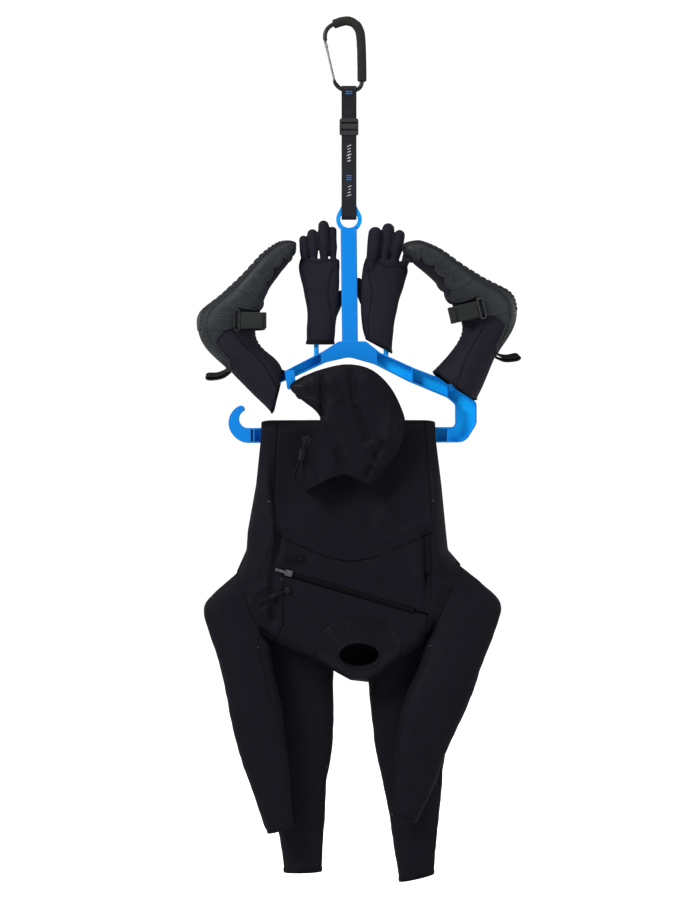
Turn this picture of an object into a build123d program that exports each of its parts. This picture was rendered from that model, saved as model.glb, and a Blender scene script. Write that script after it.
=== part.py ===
"""A full wetsuit set hung up to dry: suit, hood, gloves and boots on a rack with a strap and a carabiner.

Millimetres. +Z is up and the front faces -Y. The origin is the inside of the carabiner's top bend, where
the set hangs on a rail. "Left" and "right" are as seen from the front. The suit is folded over the rack's
bar at the hips, so its chest hangs upside down in front of the bar and its legs hang behind it.
"""
from build123d import *
from math import atan2, cos, degrees, hypot, pi, radians, sin, tan
import os

os.makedirs("parts", exist_ok=True)

# ---------------------------------------------------------------- driving dimensions
ROD_R = 4.25                  # carabiner rod
GRIP_R = 9.2                  # foam grip on the carabiner
GATE_R = 2.4                  # carabiner gate
WEB_WIDTH = 30.0              # strap webbing
WEB_THICK = 1.6
LINK_Z = -128.0               # carabiner's bottom bar, where the strap hangs
EYE_Z = -387.0                # middle of the rack's eye
EYE_R = 17.4                  # its hole
EYE_FLAT = 8.0                # the hole's flat top, above its middle
EYE_DEPTH = 14.0              # the eye is thinner than the rest of the rack
RACK_DEPTH = 26.0             # front to back
RACK_WALL = 3.0               # moulded walls and ribs
BAR_Z = -818.0                # middle of the bar that carries the suit
HOOK = (-202.0, -786.0)       # centre of the round hook at the bar's open end
HOOK_R = 18.0
SADDLE_IN, SADDLE_OUT = 21.0, 30.0   # radii of the suit's fold over the bar
NEOPRENE = 4.0                # wall of sleeves, legs and hood
GLOVE_WALL = 2.5
PEG_R = 5.0                   # glove pegs
PEG_Y = 4.0                   # they stand behind the middle of the arms
BOOT_PEG_R = 8.0
PANEL_GAP = 1.0               # between neighbouring panels at a seam
TORSO_Y = -25.5               # middle of the torso, front to back
CHEST_FRONT = -50.5           # the chest's flat front
ZIP_START, ZIP_END = (-128.0, -1089.0), (122.0, -1164.0)
ZIP_LENGTH = hypot(ZIP_END[0] - ZIP_START[0], ZIP_END[1] - ZIP_START[1])


# ---------------------------------------------------------------- helpers
def front_face(sketch):
    """A sketch drawn as (x, z), stood up in the XZ plane."""
    return Plane.XZ * sketch


def slab(sketch, front, back):
    """A front-view sketch extruded from y=front to y=back."""
    return Pos(0, back, 0) * extrude(front_face(sketch), amount=back - front, dir=(0, -1, 0))


def anticlockwise(points):
    """The points of an outline, in anticlockwise order, so that its face looks out of the page."""
    area = sum(a[0] * b[1] - b[0] * a[1] for a, b in zip(points, points[1:] + points[:1]))
    return points if area > 0 else points[::-1]


def smooth(points):
    """A closed smooth outline through the points."""
    return make_face(Spline(*anticlockwise(points), periodic=True))


def polygon(points):
    return make_face(Polyline(*anticlockwise(points), close=True))


def rounded(corners):
    """A closed outline of straight runs, with each corner (x, z, radius) rounded to its radius."""
    corners = anticlockwise(corners)
    count = len(corners)
    edges, arcs = [], []
    for i, (x, z, r) in enumerate(corners):
        before, after = corners[i - 1], corners[(i + 1) % count]
        a = Vector(before[0] - x, before[1] - z).normalized()
        b = Vector(after[0] - x, after[1] - z).normalized()
        turn = a.get_angle(b)
        reach = r / tan(radians(turn / 2))
        middle = Vector(x, z) + (a + b).normalized() * (r / sin(radians(turn / 2)) - r)
        arcs.append((Vector(x, z) + a * reach, middle, Vector(x, z) + b * reach))
    for i, (start, middle, end) in enumerate(arcs):
        edges.append(ThreePointArc(start, middle, end))
        edges.append(Line(end, arcs[(i + 1) % count][0]))
    return make_face(edges)


def rod(path, radius):
    """A round rod along an edge or wire."""
    start = Plane(origin=path @ 0, z_dir=path % 0)
    return sweep(start * Circle(radius), path=path)


def cylinder_between(start, end, radius):
    axis = Vector(*end) - Vector(*start)
    return Plane(origin=start, z_dir=axis) * Cylinder(
        radius, axis.length, align=(Align.CENTER, Align.CENTER, Align.MIN)
    )


def oval(half_width, half_depth, points=12):
    """A smooth oval that always starts at its +X end."""
    turns = [2 * pi * i / points for i in range(points)]
    return smooth([(half_width * cos(a), half_depth * sin(a)) for a in turns])


def limb_form(stations, shrink=0.0, stretch=0.0):
    """A soft limb, as a chain of lofts between ovals.

    Each station is (x1, z1, x2, z2, y, depth): the two ends of the section in the front view, its middle
    front to back, and its depth. stretch moves the two end sections outwards.
    """
    last = len(stations) - 1
    middles = [Vector((x1 + x2) / 2, y, (z1 + z2) / 2) for x1, z1, x2, z2, y, _ in stations]
    sections = []
    for i, (x1, z1, x2, z2, y, depth) in enumerate(stations):
        across = Vector(x2 - x1, 0, z2 - z1)
        heading = middles[min(i + 1, last)] - middles[max(i - 1, 0)]
        if across.cross(Vector(0, 1, 0)).dot(heading) < 0:
            across = across * -1
        spot = Plane(origin=middles[i], x_dir=across, z_dir=across.cross(Vector(0, 1, 0)))
        if i == 0:
            spot = spot.offset(-stretch)
        if i == last:
            spot = spot.offset(stretch)
        sections.append(spot * oval(across.length / 2 - shrink, depth / 2 - shrink))
    pieces = [loft(sections[i : i + 2], ruled=True) for i in range(last)]
    return Part() + pieces


def limb(stations):
    """A limb as a hollow tube, open at both ends."""
    return limb_form(stations) - limb_form(stations, shrink=NEOPRENE, stretch=2)


def flat_form(stations, shrink=0.0):
    """A flattened body as a ruled loft of round-sided slabs. Each station is (x1, x2, z, depth)."""
    sections = []
    for x1, x2, z, depth in stations:
        spot = Plane(origin=((x1 + x2) / 2, TORSO_Y, z), x_dir=(1, 0, 0), z_dir=(0, 0, 1))
        half = depth / 2 - shrink
        sections.append(spot * RectangleRounded(x2 - x1 - 2 * shrink, 2 * half, 0.96 * half))
    return loft(sections, ruled=True)


def ribbon(path, thick, half_width):
    """Flat webbing: a path of (y, z) points given thickness, and extruded along X."""
    left, right = [], []
    for i, (y, z) in enumerate(path):
        low, high = path[max(i - 1, 0)], path[min(i + 1, len(path) - 1)]
        dy, dz = high[0] - low[0], high[1] - low[1]
        length = hypot(dy, dz)
        ny, nz = -dz / length * thick / 2, dy / length * thick / 2
        left.append((y + ny, z + nz))
        right.append((y - ny, z - nz))
    outline = Plane.YZ * polygon(left + right[::-1])
    return Pos(-half_width, 0, 0) * extrude(outline, amount=2 * half_width)


def arc_points(centre, radius, start, end, steps):
    """Points (y, z) on an arc, with angles in degrees from +Y towards +Z."""
    turns = [radians(start + (end - start) * i / steps) for i in range(steps + 1)]
    return [(centre[0] + radius * cos(t), centre[1] + radius * sin(t)) for t in turns]


def save(shape, name):
    export_step(shape, f"parts/{name}.step")


# ---------------------------------------------------------------- carabiner
def carabiner_path():
    """The bent rod's middle line, from the nose over the top, down the spine and round to the gate pivot."""
    nose = [(-47, -30), (-48, -20), (-44, -7), (-32, 3)]
    top = [(-8, 10), (9, 6), (20, -7), (24, -28)]
    spine = [(25.5, -68), (26, -112)]
    foot = [(22.5, -122), (13, LINK_Z), (0, LINK_Z), (-14, -126.5), (-24, -119), (-29.5, -109)]
    return Spline(*[(x, 0, z) for x, z in nose + top + spine + foot])


GATE_PIVOT = (-29.5, 0, -109)
GATE_TOP = (-47, 0, -33.5)


def carabiner():
    path = carabiner_path()
    body = rod(path, ROD_R)
    # A slot at each end takes the gate, and leaves two cheeks.
    slot_depth = 2 * GATE_R + 0.8
    foot_slot = Pos(-31, 0, -107) * Box(20, slot_depth, 15)
    nose_slot = Pos(-47.5, 0, -36) * Box(20, slot_depth, 16)
    body = body - foot_slot - nose_slot
    pin_hole = Pos(*GATE_PIVOT) * Rot(90, 0, 0) * Cylinder(1.3, 20)
    return body - pin_hole


def gate():
    bar = cylinder_between(GATE_PIVOT, GATE_TOP, GATE_R)
    eye = Pos(*GATE_PIVOT) * Rot(90, 0, 0) * Cylinder(3.0, 2 * GATE_R + 0.2)
    hole = Pos(*GATE_PIVOT) * Rot(90, 0, 0) * Cylinder(1.3, 20)
    catch = Pos(*GATE_TOP) * Rot(90, 0, 0) * Cylinder(2.9, 2 * GATE_R + 0.2)
    run = Vector(*GATE_TOP) - Vector(*GATE_PIVOT)
    collar_start, collar_end = (Vector(*GATE_PIVOT) + run * part for part in (0.86, 0.95))
    collar = cylinder_between(collar_start, collar_end, 3.4)
    return bar + eye + catch + collar - hole


def gate_rivet():
    return Pos(*GATE_PIVOT) * Rot(90, 0, 0) * Cylinder(1.25, 2 * ROD_R + 1.2)


def foam_grip():
    """A foam sleeve round the rod's top bend and spine."""
    top = [(-32, 3), (-8, 10), (9, 6), (20, -7), (24, -28)]
    spine = [(25.5, -68), (26, -112)]
    path = Spline(*[(x, 0, z) for x, z in top + spine])
    return rod(path, GRIP_R) - rod(carabiner_path(), ROD_R + 0.05)


save(carabiner(), "carabiner_body")
save(gate(), "carabiner_gate")
save(gate_rivet(), "gate_rivet")
save(foam_grip(), "foam_grip")


# ---------------------------------------------------------------- strap
STITCH_Z = -154.0
BUCKLE_Z = -202.0
FRONT_PLY_Y = -2.6            # webbing in front, below the buckle
MIDDLE_PLY_Y = -0.8           # webbing that runs through the buckle, behind the front ply
BACK_PLY_Y = 1.4


def upper_webbing():
    """A sewn loop round the carabiner's bottom bar, with a tongue that runs down through the buckle."""
    loop_r = ROD_R + 2.6 + WEB_THICK / 2
    loop = arc_points((0, LINK_Z), loop_r, -20, 200, 22)
    tail = [(1.0, STITCH_Z)]
    tongue = [(MIDDLE_PLY_Y, STITCH_Z + 2), (MIDDLE_PLY_Y, -300)]
    return ribbon(tail + loop + tongue, WEB_THICK, WEB_WIDTH / 2)


def lower_webbing():
    """The loop that carries the rack's eye: down in front, under the eye's top, and up behind."""
    fold_z = EYE_Z + EYE_FLAT - 3.4
    half = 8.6
    front = [(FRONT_PLY_Y, -208), (FRONT_PLY_Y, -292), (-half, -338), (-half, fold_z + 4)]
    fold = arc_points((0, fold_z + 4), half, 180, 360, 12)[1:-1]
    back = [(half, fold_z + 4), (half, -338), (BACK_PLY_Y, -292), (BACK_PLY_Y, -208)]
    return ribbon(front + fold + back, WEB_THICK, WEB_WIDTH / 2)


def strap_buckle():
    """A three-bar slider: a frame round the webbing with a middle bar behind the front ply."""
    width, height, depth = 38, 33, 8.8
    frame = Pos(0, -0.6, BUCKLE_Z) * Box(width, depth, height)
    frame = fillet(frame.edges().filter_by(Axis.Y), 4)
    opening = Pos(0, -0.6, BUCKLE_Z) * Box(WEB_WIDTH + 1.6, 6.4, height + 2)
    windows = [Pos(0, -4, BUCKLE_Z + dz) * Box(WEB_WIDTH + 1.6, 4, 4) for dz in (7.5, -6.5)]
    return frame - opening - windows[0] - windows[1]


save(upper_webbing(), "strap_upper_webbing")
save(lower_webbing(), "strap_lower_webbing")
save(strap_buckle(), "strap_buckle")


# ---------------------------------------------------------------- rack
ARM_LEFT_END = (-174, -719)


def arms_sketch():
    """The two arms, the right-hand post and the bar, as one front view."""
    corners = [
        (-20, -631, 12), (-51, -650.5, 20), (-172, -713, 3), (-172, -727, 3), (-106, -700.5, 20),
        (-46, -672.5, 20), (0, -662, 30), (50, -676, 20),
        (121, -712, 20), (196, -743, 14), (212.4, -757, 12),
        (212.4, -802, 9), (-202, -804, 1), (-202, -834, 1), (232, -833, 26), (254.8, -796, 20),
        (254.8, -752, 14), (200, -718.5, 20), (176, -702, 20), (131.6, -685, 20), (62.6, -653.8, 12),
        (34, -631, 12),
    ]
    return rounded(corners)


def hook_sketch():
    """The bar's open end, curled up and over a round hook."""
    cx, cz = HOOK
    inner = ThreePointArc((cx, cz - HOOK_R), (cx - HOOK_R, cz), (cx - 7, cz + 16.6))
    outer = Spline((-199, -834), (-226, -824), (-240.5, -797), (-233.5, -772), (-220, -760.5))
    tip = ThreePointArc(inner @ 1, (-211, -761), outer @ 1)
    joint = Line(outer @ 0, (-199, -803.8))
    heel = Line((-199, -803.8), inner @ 0)
    return make_face([inner, tip, outer, joint, heel])


def eye_sketch():
    ring = make_hull([*Circle(25.7).edges(), *(Pos(0, 25) * Circle(14)).edges()])
    hole = Circle(EYE_R) - Pos(0, EYE_FLAT + 20) * Rectangle(60, 40)
    return Pos(0, EYE_Z) * (ring - hole)


def rack():
    half = RACK_DEPTH / 2
    arms = arms_sketch()
    body = slab(arms, -half, half) + slab(hook_sketch(), -half, half)
    # The channels are open to the front, between ribs. The junction of the arms stays solid.
    inset = offset(arms, amount=-RACK_WALL)
    channel = slab(inset, -half - 1, half - RACK_WALL - 1)
    keep = Pos(0, 0, -650) * Box(112, 60, 120)
    for x in (-120, 126, 197, -168, -190):
        keep = keep + Pos(x, 0, -760) * Box(RACK_WALL, 60, 200)
    bar_end = Pos(-203, 0, -818) * Box(14, 60, 40)
    body = body - (channel - keep - bar_end)
    stem = slab(polygon([(-17, -402), (15.5, -402), (18, -640), (-14, -640)]), -11, 9)
    stem = fillet(stem.edges().sort_by(SortBy.LENGTH)[-4:], 4)
    eye = slab(eye_sketch(), -EYE_DEPTH / 2, EYE_DEPTH / 2)
    hole = Pos(0, 0, EYE_Z) * Rot(90, 0, 0) * Cylinder(EYE_R, 60)
    body = body + (stem - hole) + eye
    for x, foot in ((-65.4, -662), (74, -664)):
        body = body + Pos(x, PEG_Y, foot) * Cylinder(PEG_R, 60, align=(Align.CENTER, Align.CENTER, Align.MIN))
    # The right boot's peg leans out of the arm's shoulder.
    body = body + cylinder_between((200, -4, -730), (236, -4, -676), BOOT_PEG_R)
    # A lug under the left arm carries the hood's visor.
    lug = slab(rounded([(-127, -692, 2), (-108, -690, 2), (-106, -722, 3), (-122, -729, 3)]), -65, -half + 1)
    return body + lug


save(rack(), "drying_rack")


# ---------------------------------------------------------------- gloves
LEFT_PALM = [
    (-86, -637, -29.5, -637, PEG_Y, 34),
    (-84.5, -600, -27, -600, PEG_Y, 34), (-84, -565, -23, -565, PEG_Y, 31),
    (-93, -520, -20, -520, PEG_Y, 29), (-103, -470, -18.6, -470, PEG_Y, 25),
    (-99, -450, -20, -450, PEG_Y, 20),
]
LEFT_FINGERS = [((-92.5, -480), (-93.5, -426), 10), ((-70, -478), (-73, -416.5), 10.5),
                ((-49, -478), (-50, -398), 10.6), ((-31, -480), (-34.5, -409), 8.6)]
LEFT_THUMB = ((-34, 16, -590), (-10, 23, -530), 9)
RIGHT_PALM = [
    (33, -626, 86, -657, PEG_Y, 34), (26, -600, 89, -600, PEG_Y, 33), (23, -550, 100.6, -550, PEG_Y, 31),
    (24.5, -500, 115.4, -500, PEG_Y, 29),
    (28, -470, 121, -470, PEG_Y, 25), (36, -452, 116, -452, PEG_Y, 20),
]
RIGHT_FINGERS = [((42, -480), (60, -411), 11.2), ((64, -478), (85, -405.8), 11),
                 ((86, -478), (107, -418), 10.4), ((107, -480), (124, -442), 9.8)]
RIGHT_THUMB = ((38, 15, -572), (13, 22, -500), 9)


def finger(base, tip, radius):
    return cylinder_between(base, tip, radius) + Pos(*tip) * Sphere(radius) + Pos(*base) * Sphere(radius)


def glove(palm, fingers, thumb):
    """A five-finger glove, hollow from its cuff to its fingertips."""
    body = limb_form(palm)
    for base, tip, radius in fingers:
        body = body + finger((base[0], PEG_Y, base[1]), (tip[0], PEG_Y, tip[1]), radius)
    body = body + finger(*thumb)
    return body - limb_form(palm[:-1], shrink=GLOVE_WALL, stretch=2)


save(glove(LEFT_PALM, LEFT_FINGERS, LEFT_THUMB), "glove_left")
save(glove(RIGHT_PALM, RIGHT_FINGERS, RIGHT_THUMB), "glove_right")


# ---------------------------------------------------------------- boots
BOOT = [
    # x1, z1 on the sole and heel side; x2, z2 on the instep side; middle and depth in y
    (-111, -430, -109, -452, 0, 46), (-141, -432, -117, -476, 0, 74), (-176, -458, -141, -502, 0, 88),
    (-218, -507, -164, -535, 0, 90), (-250, -541, -175, -569, 0, 84), (-303, -578, -184, -604, 0, 80),
    (-297, -630, -172, -632, 0, 84), (-241, -689, -147, -664, 0, 92), (-192, -738, -123, -693, 0, 98),
    (-152, -778, -92, -722, 0, 102),
]
BOOT_MOUTH = [(-155, -776), (-131.6, -686.6), (-131, -660), (-40, -660), (-40, -830), (-168, -830)]
SOLE_SIDE = [(-60, -440), (-128, -478), (-172, -532), (-204, -562), (-236, -596), (-268, -612), (-240, -672),
             (-250, -705), (-360, -640), (-360, -560), (-250, -440), (-120, -380)]


def boot_form(shrink):
    return limb_form(BOOT, shrink=shrink)


def boot_upper():
    """The neoprene boot, hollow down to the ball of the foot."""
    cavity = limb_form(BOOT[2:], shrink=5.6, stretch=2)
    return boot_form(2.4) - cavity - slab(polygon(BOOT_MOUTH), -90, 90)


def boot_rubber():
    """The rubber that wraps the sole, the toe and the heel."""
    return (boot_form(0) - boot_form(2.38)) & slab(smooth(SOLE_SIDE), -90, 90)


def boot_strap_band():
    """The ankle strap, across the instep from one side to the other."""
    outer = [(-222, -43.5), (-196, -43.2), (-180, -36), (-170.5, -20), (-168, 0), (-170.5, 20), (-180, 36),
             (-196, 43.2), (-222, 43.5)]
    inner = [(-222, -41.3), (-197, -41), (-182, -34), (-173, -19), (-170.4, 0), (-173, 19), (-182, 34),
             (-197, 41), (-222, 41.3)]
    face = make_face(Polyline(*outer, *inner[::-1], close=True))
    return Pos(0, 0, -608) * extrude(face, amount=34) - boot_form(-0.05)


def boot_strap_tab():
    """The strap's free end, folded back through the ring and pressed down on itself."""
    return Pos(-189, -46.4, -591) * Box(52, 2.2, 34)


def boot_ring():
    """The metal ring on the near side."""
    ring = RectangleRounded(13, 42, 4) - RectangleRounded(8.4, 37.4, 2)
    return Pos(-222, 0, -591) * slab(ring, -49.2, -44.0)


def boot_loop():
    """The pull loop at the top of the heel."""
    path = [(-240, -694), (-252, -702), (-268, -706), (-284, -704)]
    back = [(-242, -690), (-253, -698), (-268, -701.5), (-284, -699.5)]
    return slab(polygon(path + back[::-1]), -12, 12) - boot_form(-0.05)


def right_boot(shape):
    """The right boot is the left one mirrored, turned in the front view, and set forward and toed out."""
    turned = Pos(210, 0, -723) * Rot(0, -13.5, 0) * Pos(-143, 0, 731) * mirror(shape, about=Plane.YZ)
    return Pos(210, -26, 0) * Rot(0, 0, 10) * Pos(-210, 0, 0) * turned


arm_relief = slab(offset(arms_sketch(), amount=1.2), -40, 40)
for shape, name in (
    (boot_upper(), "upper"), (boot_rubber(), "rubber"), (boot_strap_band(), "strap"),
    (boot_strap_tab(), "strap_tab"), (boot_ring(), "ring"), (boot_loop(), "heel_loop"),
):
    save(shape, f"boot_left_{name}")
    save(right_boot(shape) - arm_relief, f"boot_right_{name}")


# ---------------------------------------------------------------- suit: fold over the bar, and legs
def hip_fold(inner, outer):
    """One layer of the suit, bent over the bar."""
    ring = Circle(outer) - Circle(inner)
    upper = ring & Pos(0, 50) * Rectangle(200, 100)
    shell = Pos(-174, 0, BAR_Z) * extrude(Plane.YZ * upper, amount=346)
    return shell


LEFT_LEG = [
    (-174, -819.5, -3, -819.5, 25.5, 9), (-181, -900, -6, -900, 27, 24), (-187, -1009, -11, -1009, 33, 44),
    (-190, -1150, -21, -1150, 38, 58), (-188, -1287, -31, -1287, 40, 62),
    (-180, -1420, -32.5, -1420, 40, 62),
    (-166, -1520, -45, -1520, 38, 58), (-142, -1612, -51, -1612, 35, 52),
    (-131, -1698, -54.6, -1696, 34, 46),
]
RIGHT_LEG = [
    (3, -819.5, 172, -819.5, 25.5, 9), (6, -900, 179, -900, 27, 24), (10, -1009, 188, -1009, 33, 44),
    (20, -1150, 197, -1150, 38, 58), (38, -1300, 200, -1300, 40, 62), (51, -1436, 197, -1436, 40, 62),
    (66, -1508, 188, -1504, 38, 58), (88, -1622, 179.6, -1618, 35, 52),
    (100.8, -1717, 171.4, -1701, 34, 46),
]


def hem(stations):
    """A bound edge round the open end of a limb."""
    ends = list(stations[-2:])
    ends[0] = tuple(0.15 * a + 0.85 * b for a, b in zip(*ends))
    sections = []
    for shrink in (-1.9, -0.6):
        for px1, pz1, px2, pz2, py, pd in ends:
            across = Vector(px2 - px1, 0, pz2 - pz1)
            spot = Plane(
                origin=((px1 + px2) / 2, py, (pz1 + pz2) / 2),
                x_dir=across,
                z_dir=across.cross(Vector(0, 1, 0)),
            )
            sections.append(spot * oval(across.length / 2 - shrink, pd / 2 - shrink))
    return loft(sections[:2], ruled=True) - loft(sections[2:], ruled=True)


save(hip_fold(SADDLE_IN, SADDLE_IN + 4.2), "suit_hip_inner")
save(hip_fold(SADDLE_OUT - 4.2, SADDLE_OUT), "suit_hip_outer")
save(limb(LEFT_LEG), "suit_leg_left")
save(limb(RIGHT_LEG), "suit_leg_right")
save(hem(LEFT_LEG), "leg_hem_left")
save(hem(RIGHT_LEG), "leg_hem_right")


# ---------------------------------------------------------------- suit: sleeves
LEFT_SLEEVE = [
    (-223, -1092, -177, -1206, -26, 48), (-257, -1124, -167, -1221, -28, 52),
    (-287, -1160, -158, -1234, -30, 54), (-258, -1268, -151, -1270, -34, 58),
    (-243, -1340, -137, -1340, -36, 56), (-226, -1425, -124, -1425, -36, 52),
    (-200, -1504, -117, -1500, -34, 46),
    (-181, -1560, -114, -1550, -33, 42), (-161, -1610, -111, -1597, -32, 38),
]
RIGHT_SLEEVE = [
    (221, -1078, 174, -1190, -26, 48), (302, -1154, 154, -1230, -30, 54), (268, -1268, 140, -1270, -34, 58),
    (232, -1361, 108, -1350, -36, 56), (196, -1443, 95, -1425, -36, 52), (168, -1518, 92, -1490, -34, 46),
    (134, -1588, 86, -1574, -32, 38),
]

save(limb(LEFT_SLEEVE), "suit_sleeve_left")
save(limb(RIGHT_SLEEVE), "suit_sleeve_right")
save(hem(LEFT_SLEEVE), "sleeve_hem_left")
save(hem(RIGHT_SLEEVE), "sleeve_hem_right")


# ---------------------------------------------------------------- suit: torso
TORSO = [
    (-175, 172, -819.5, 9), (-185, 184, -917, 24), (-201.6, 193, -1009, 40), (-204, 197, -1046, 46),
    (-232, 230, -1092, 50), (-232, 230, -1325, 50),
]
TORSO_EDGE = [
    (-300, -700), (300, -700), (300, -1040), (219.6, -1075), (171.8, -1191.5), (141, -1237), (103, -1262.6),
    (38, -1310), (3, -1306), (-60, -1268), (-140.6, -1232),
    (-175.6, -1206.5), (-221.6, -1090.5), (-300, -1050),
]
SHOULDER_EDGE = [                    # the same, four millimetres in along the shoulders
    (-300, -700), (300, -700), (300, -1196), (165, -1197), (138, -1233), (100, -1258), (36, -1304.5),
    (5, -1301), (-59, -1263.5), (-139, -1227.5), (-172, -1200), (-300, -1200),
]
NECK_HOLE = (20, -1253)
WAIST_SEAM = [(-149, -1013), (-80, -1045), (1.4, -1069.4), (90, -1045), (166, -1011)]
SIDE_SEAM_LEFT = [(-143, -780), (-143, -819), (-147, -900), (-149, -1013)]
SIDE_SEAM_RIGHT = [(152, -780), (152, -819), (158, -900), (166, -1011)]


def torso_shell():
    outer = flat_form(TORSO) & slab(polygon(TORSO_EDGE), -90, 40)
    longer = [(-175, 172, -815, 9), *TORSO[1:-1], (-232, 230, -1330, 50)]
    inner = flat_form(longer, shrink=NEOPRENE) & slab(polygon(SHOULDER_EDGE), -90, 40)
    return outer - inner


def along_zip(along, up=0.0):
    """A front-view point: a distance along the zip from its start, and one above its middle line."""
    (x1, z1), (x2, z2) = ZIP_START, ZIP_END
    length = hypot(x2 - x1, z2 - z1)
    ux, uz = (x2 - x1) / length, (z2 - z1) / length
    return (x1 + ux * along - uz * up, z1 + uz * along + ux * up)


def zip_band(start, end, low, high):
    """A front-view strip along the zip."""
    return polygon([along_zip(start, low), along_zip(end, low), along_zip(end, high), along_zip(start, high)])


shell = torso_shell()
front = shell & Pos(0, -95 + TORSO_Y, -1100) * Box(800, 190, 900)
back = shell - Pos(0, -95 + TORSO_Y + PANEL_GAP, -1100) * Box(800, 190, 900)

belly_region = polygon([*SIDE_SEAM_LEFT, *WAIST_SEAM[1:-1], *SIDE_SEAM_RIGHT[::-1]])
left_region = polygon([(-400, -780), *SIDE_SEAM_LEFT, (-152, -1045), (-400, -1045)])
right_region = polygon([*SIDE_SEAM_RIGHT, (170, -1045), (400, -1045), (400, -780)])
neck_hole = Pos(*NECK_HOLE) * Ellipse(42, 24)
cape_region = polygon([
    (-62, -1266), (-62, -1240), (-54, -1212), (-35, -1194),
    (-8, -1183), (20, -1179), (48, -1182), (72, -1191),
    (90, -1207), (101, -1226), (103, -1263), (60, -1330), (20, -1335), (-30, -1330),
])
zip_gap = zip_band(-12, ZIP_LENGTH + 12, -5, 5)
below_zip = polygon([
    (-128, -1094), ZIP_END, (156, -1174), (150, -1240),
    (100, -1330), (-60, -1330), (-150, -1232), (-129, -1194),
])


def seam_gap(region):
    """A region pulled in by half the seam gap."""
    return offset(region, amount=-PANEL_GAP / 2)


def panel(region):
    return front & slab(region, -90, 40)


save(panel(seam_gap(belly_region)), "suit_belly_panel")
save(panel(seam_gap(left_region)), "suit_side_panel_left")
save(panel(seam_gap(right_region)), "suit_side_panel_right")
save(back, "suit_back_panel")
flap_region = seam_gap(below_zip) - offset(cape_region, amount=PANEL_GAP / 2) - zip_gap
save(panel(flap_region), "suit_neck_flap")
chest_region = polygon([
    (-400, -1045.5), (-151.5, -1045.5), (-149, -1014),
    (-80, -1046), (1.4, -1070.4), (90, -1046), (166, -1012),
    (169.5, -1045.5), (400, -1045.5), (400, -1400), (-400, -1400),
])
chest_region = chest_region - offset(below_zip, amount=PANEL_GAP / 2) - zip_gap
chest_region = chest_region - offset(cape_region, amount=PANEL_GAP / 2)
save(panel(chest_region), "suit_chest_panel")
save(panel(cape_region - neck_hole), "suit_collar")


# ---------------------------------------------------------------- chest zip and neck cord
def zip_box(start, end, low, high, front_y, back_y):
    return slab(zip_band(start, end, low, high), front_y, back_y)


TEETH_FRONT = CHEST_FRONT - 1.8
SLIDER_AT = 9.0               # distance along the zip of the slider's middle

save(zip_box(-10, ZIP_LENGTH + 8, -4.5, 4.5, CHEST_FRONT + 0.2, CHEST_FRONT + 3), "zip_tape")
save(zip_box(0, ZIP_LENGTH, -2.2, 2.2, TEETH_FRONT, CHEST_FRONT + 0.2), "zip_teeth")
save(zip_box(ZIP_LENGTH + 0.2, ZIP_LENGTH + 4, -4, 4, TEETH_FRONT - 0.6, CHEST_FRONT + 0.18), "zip_end_stop")

slider = zip_box(2, 16, -6, 6, CHEST_FRONT - 4.2, CHEST_FRONT - 0.2)
slider = slider - zip_box(-5, 20, -2.6, 2.6, TEETH_FRONT - 0.4, CHEST_FRONT + 1)
for side in (-1, 1):
    slider = slider + zip_box(7, 11, 3.9 * side - 0.8, 3.9 * side + 0.8, CHEST_FRONT - 8, CHEST_FRONT - 4.2)
PIN_Y = CHEST_FRONT - 6.7
pin_ends = [along_zip(SLIDER_AT, up) for up in (-4.0, 4.0)]
pin_start, pin_end = ((x, PIN_Y, z) for x, z in pin_ends)
slider = slider + cylinder_between(pin_start, pin_end, 0.8)
save(slider, "zip_slider")
pull = zip_box(-18, SLIDER_AT, -2.7, 2.7, PIN_Y - 0.8, PIN_Y + 0.8)
knuckle_ends = [along_zip(SLIDER_AT, up) for up in (-2.7, 2.7)]
knuckle_start, knuckle_end = ((x, PIN_Y, z) for x, z in knuckle_ends)
pull = pull + cylinder_between(knuckle_start, knuckle_end, 1.7)
pull = pull - cylinder_between(pin_start, pin_end, 0.85)
save(pull, "zip_pull")

tab = rounded([(-128, -1062, 3), (-88, -1055, 3), (-86, -1067, 3), (-126, -1074, 3)])
save(slab(tab, CHEST_FRONT - 1.8, CHEST_FRONT - 0.02), "zip_garage_tab")
snap_centre = (-96, CHEST_FRONT - 1.82, -1062.5)
snap = cylinder_between(snap_centre, (-96, CHEST_FRONT - 4.02, -1062.5), 4.6)
save(snap, "zip_garage_snap")

CORD_START, CORD_END = (-124, -57, -1126), (-176, -57, -1146)
cord = cylinder_between(CORD_START, CORD_END, 1.3) + Pos(*CORD_END) * Sphere(3)
cord = cord + Pos(-122, (CHEST_FRONT - 58.6) / 2, -1125.3) * Box(9, 58.6 + CHEST_FRONT - 0.04, 9)
save(cord, "neck_cord")
cord_run = (Vector(*CORD_END) - Vector(*CORD_START)).normalized()
toggle_start, toggle_end = (Vector(*CORD_START) + cord_run * d for d in (21, 36))
toggle = cylinder_between(toggle_start, toggle_end, 5.0)
save(toggle - cylinder_between(CORD_START, CORD_END, 1.36), "neck_toggle")


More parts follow.
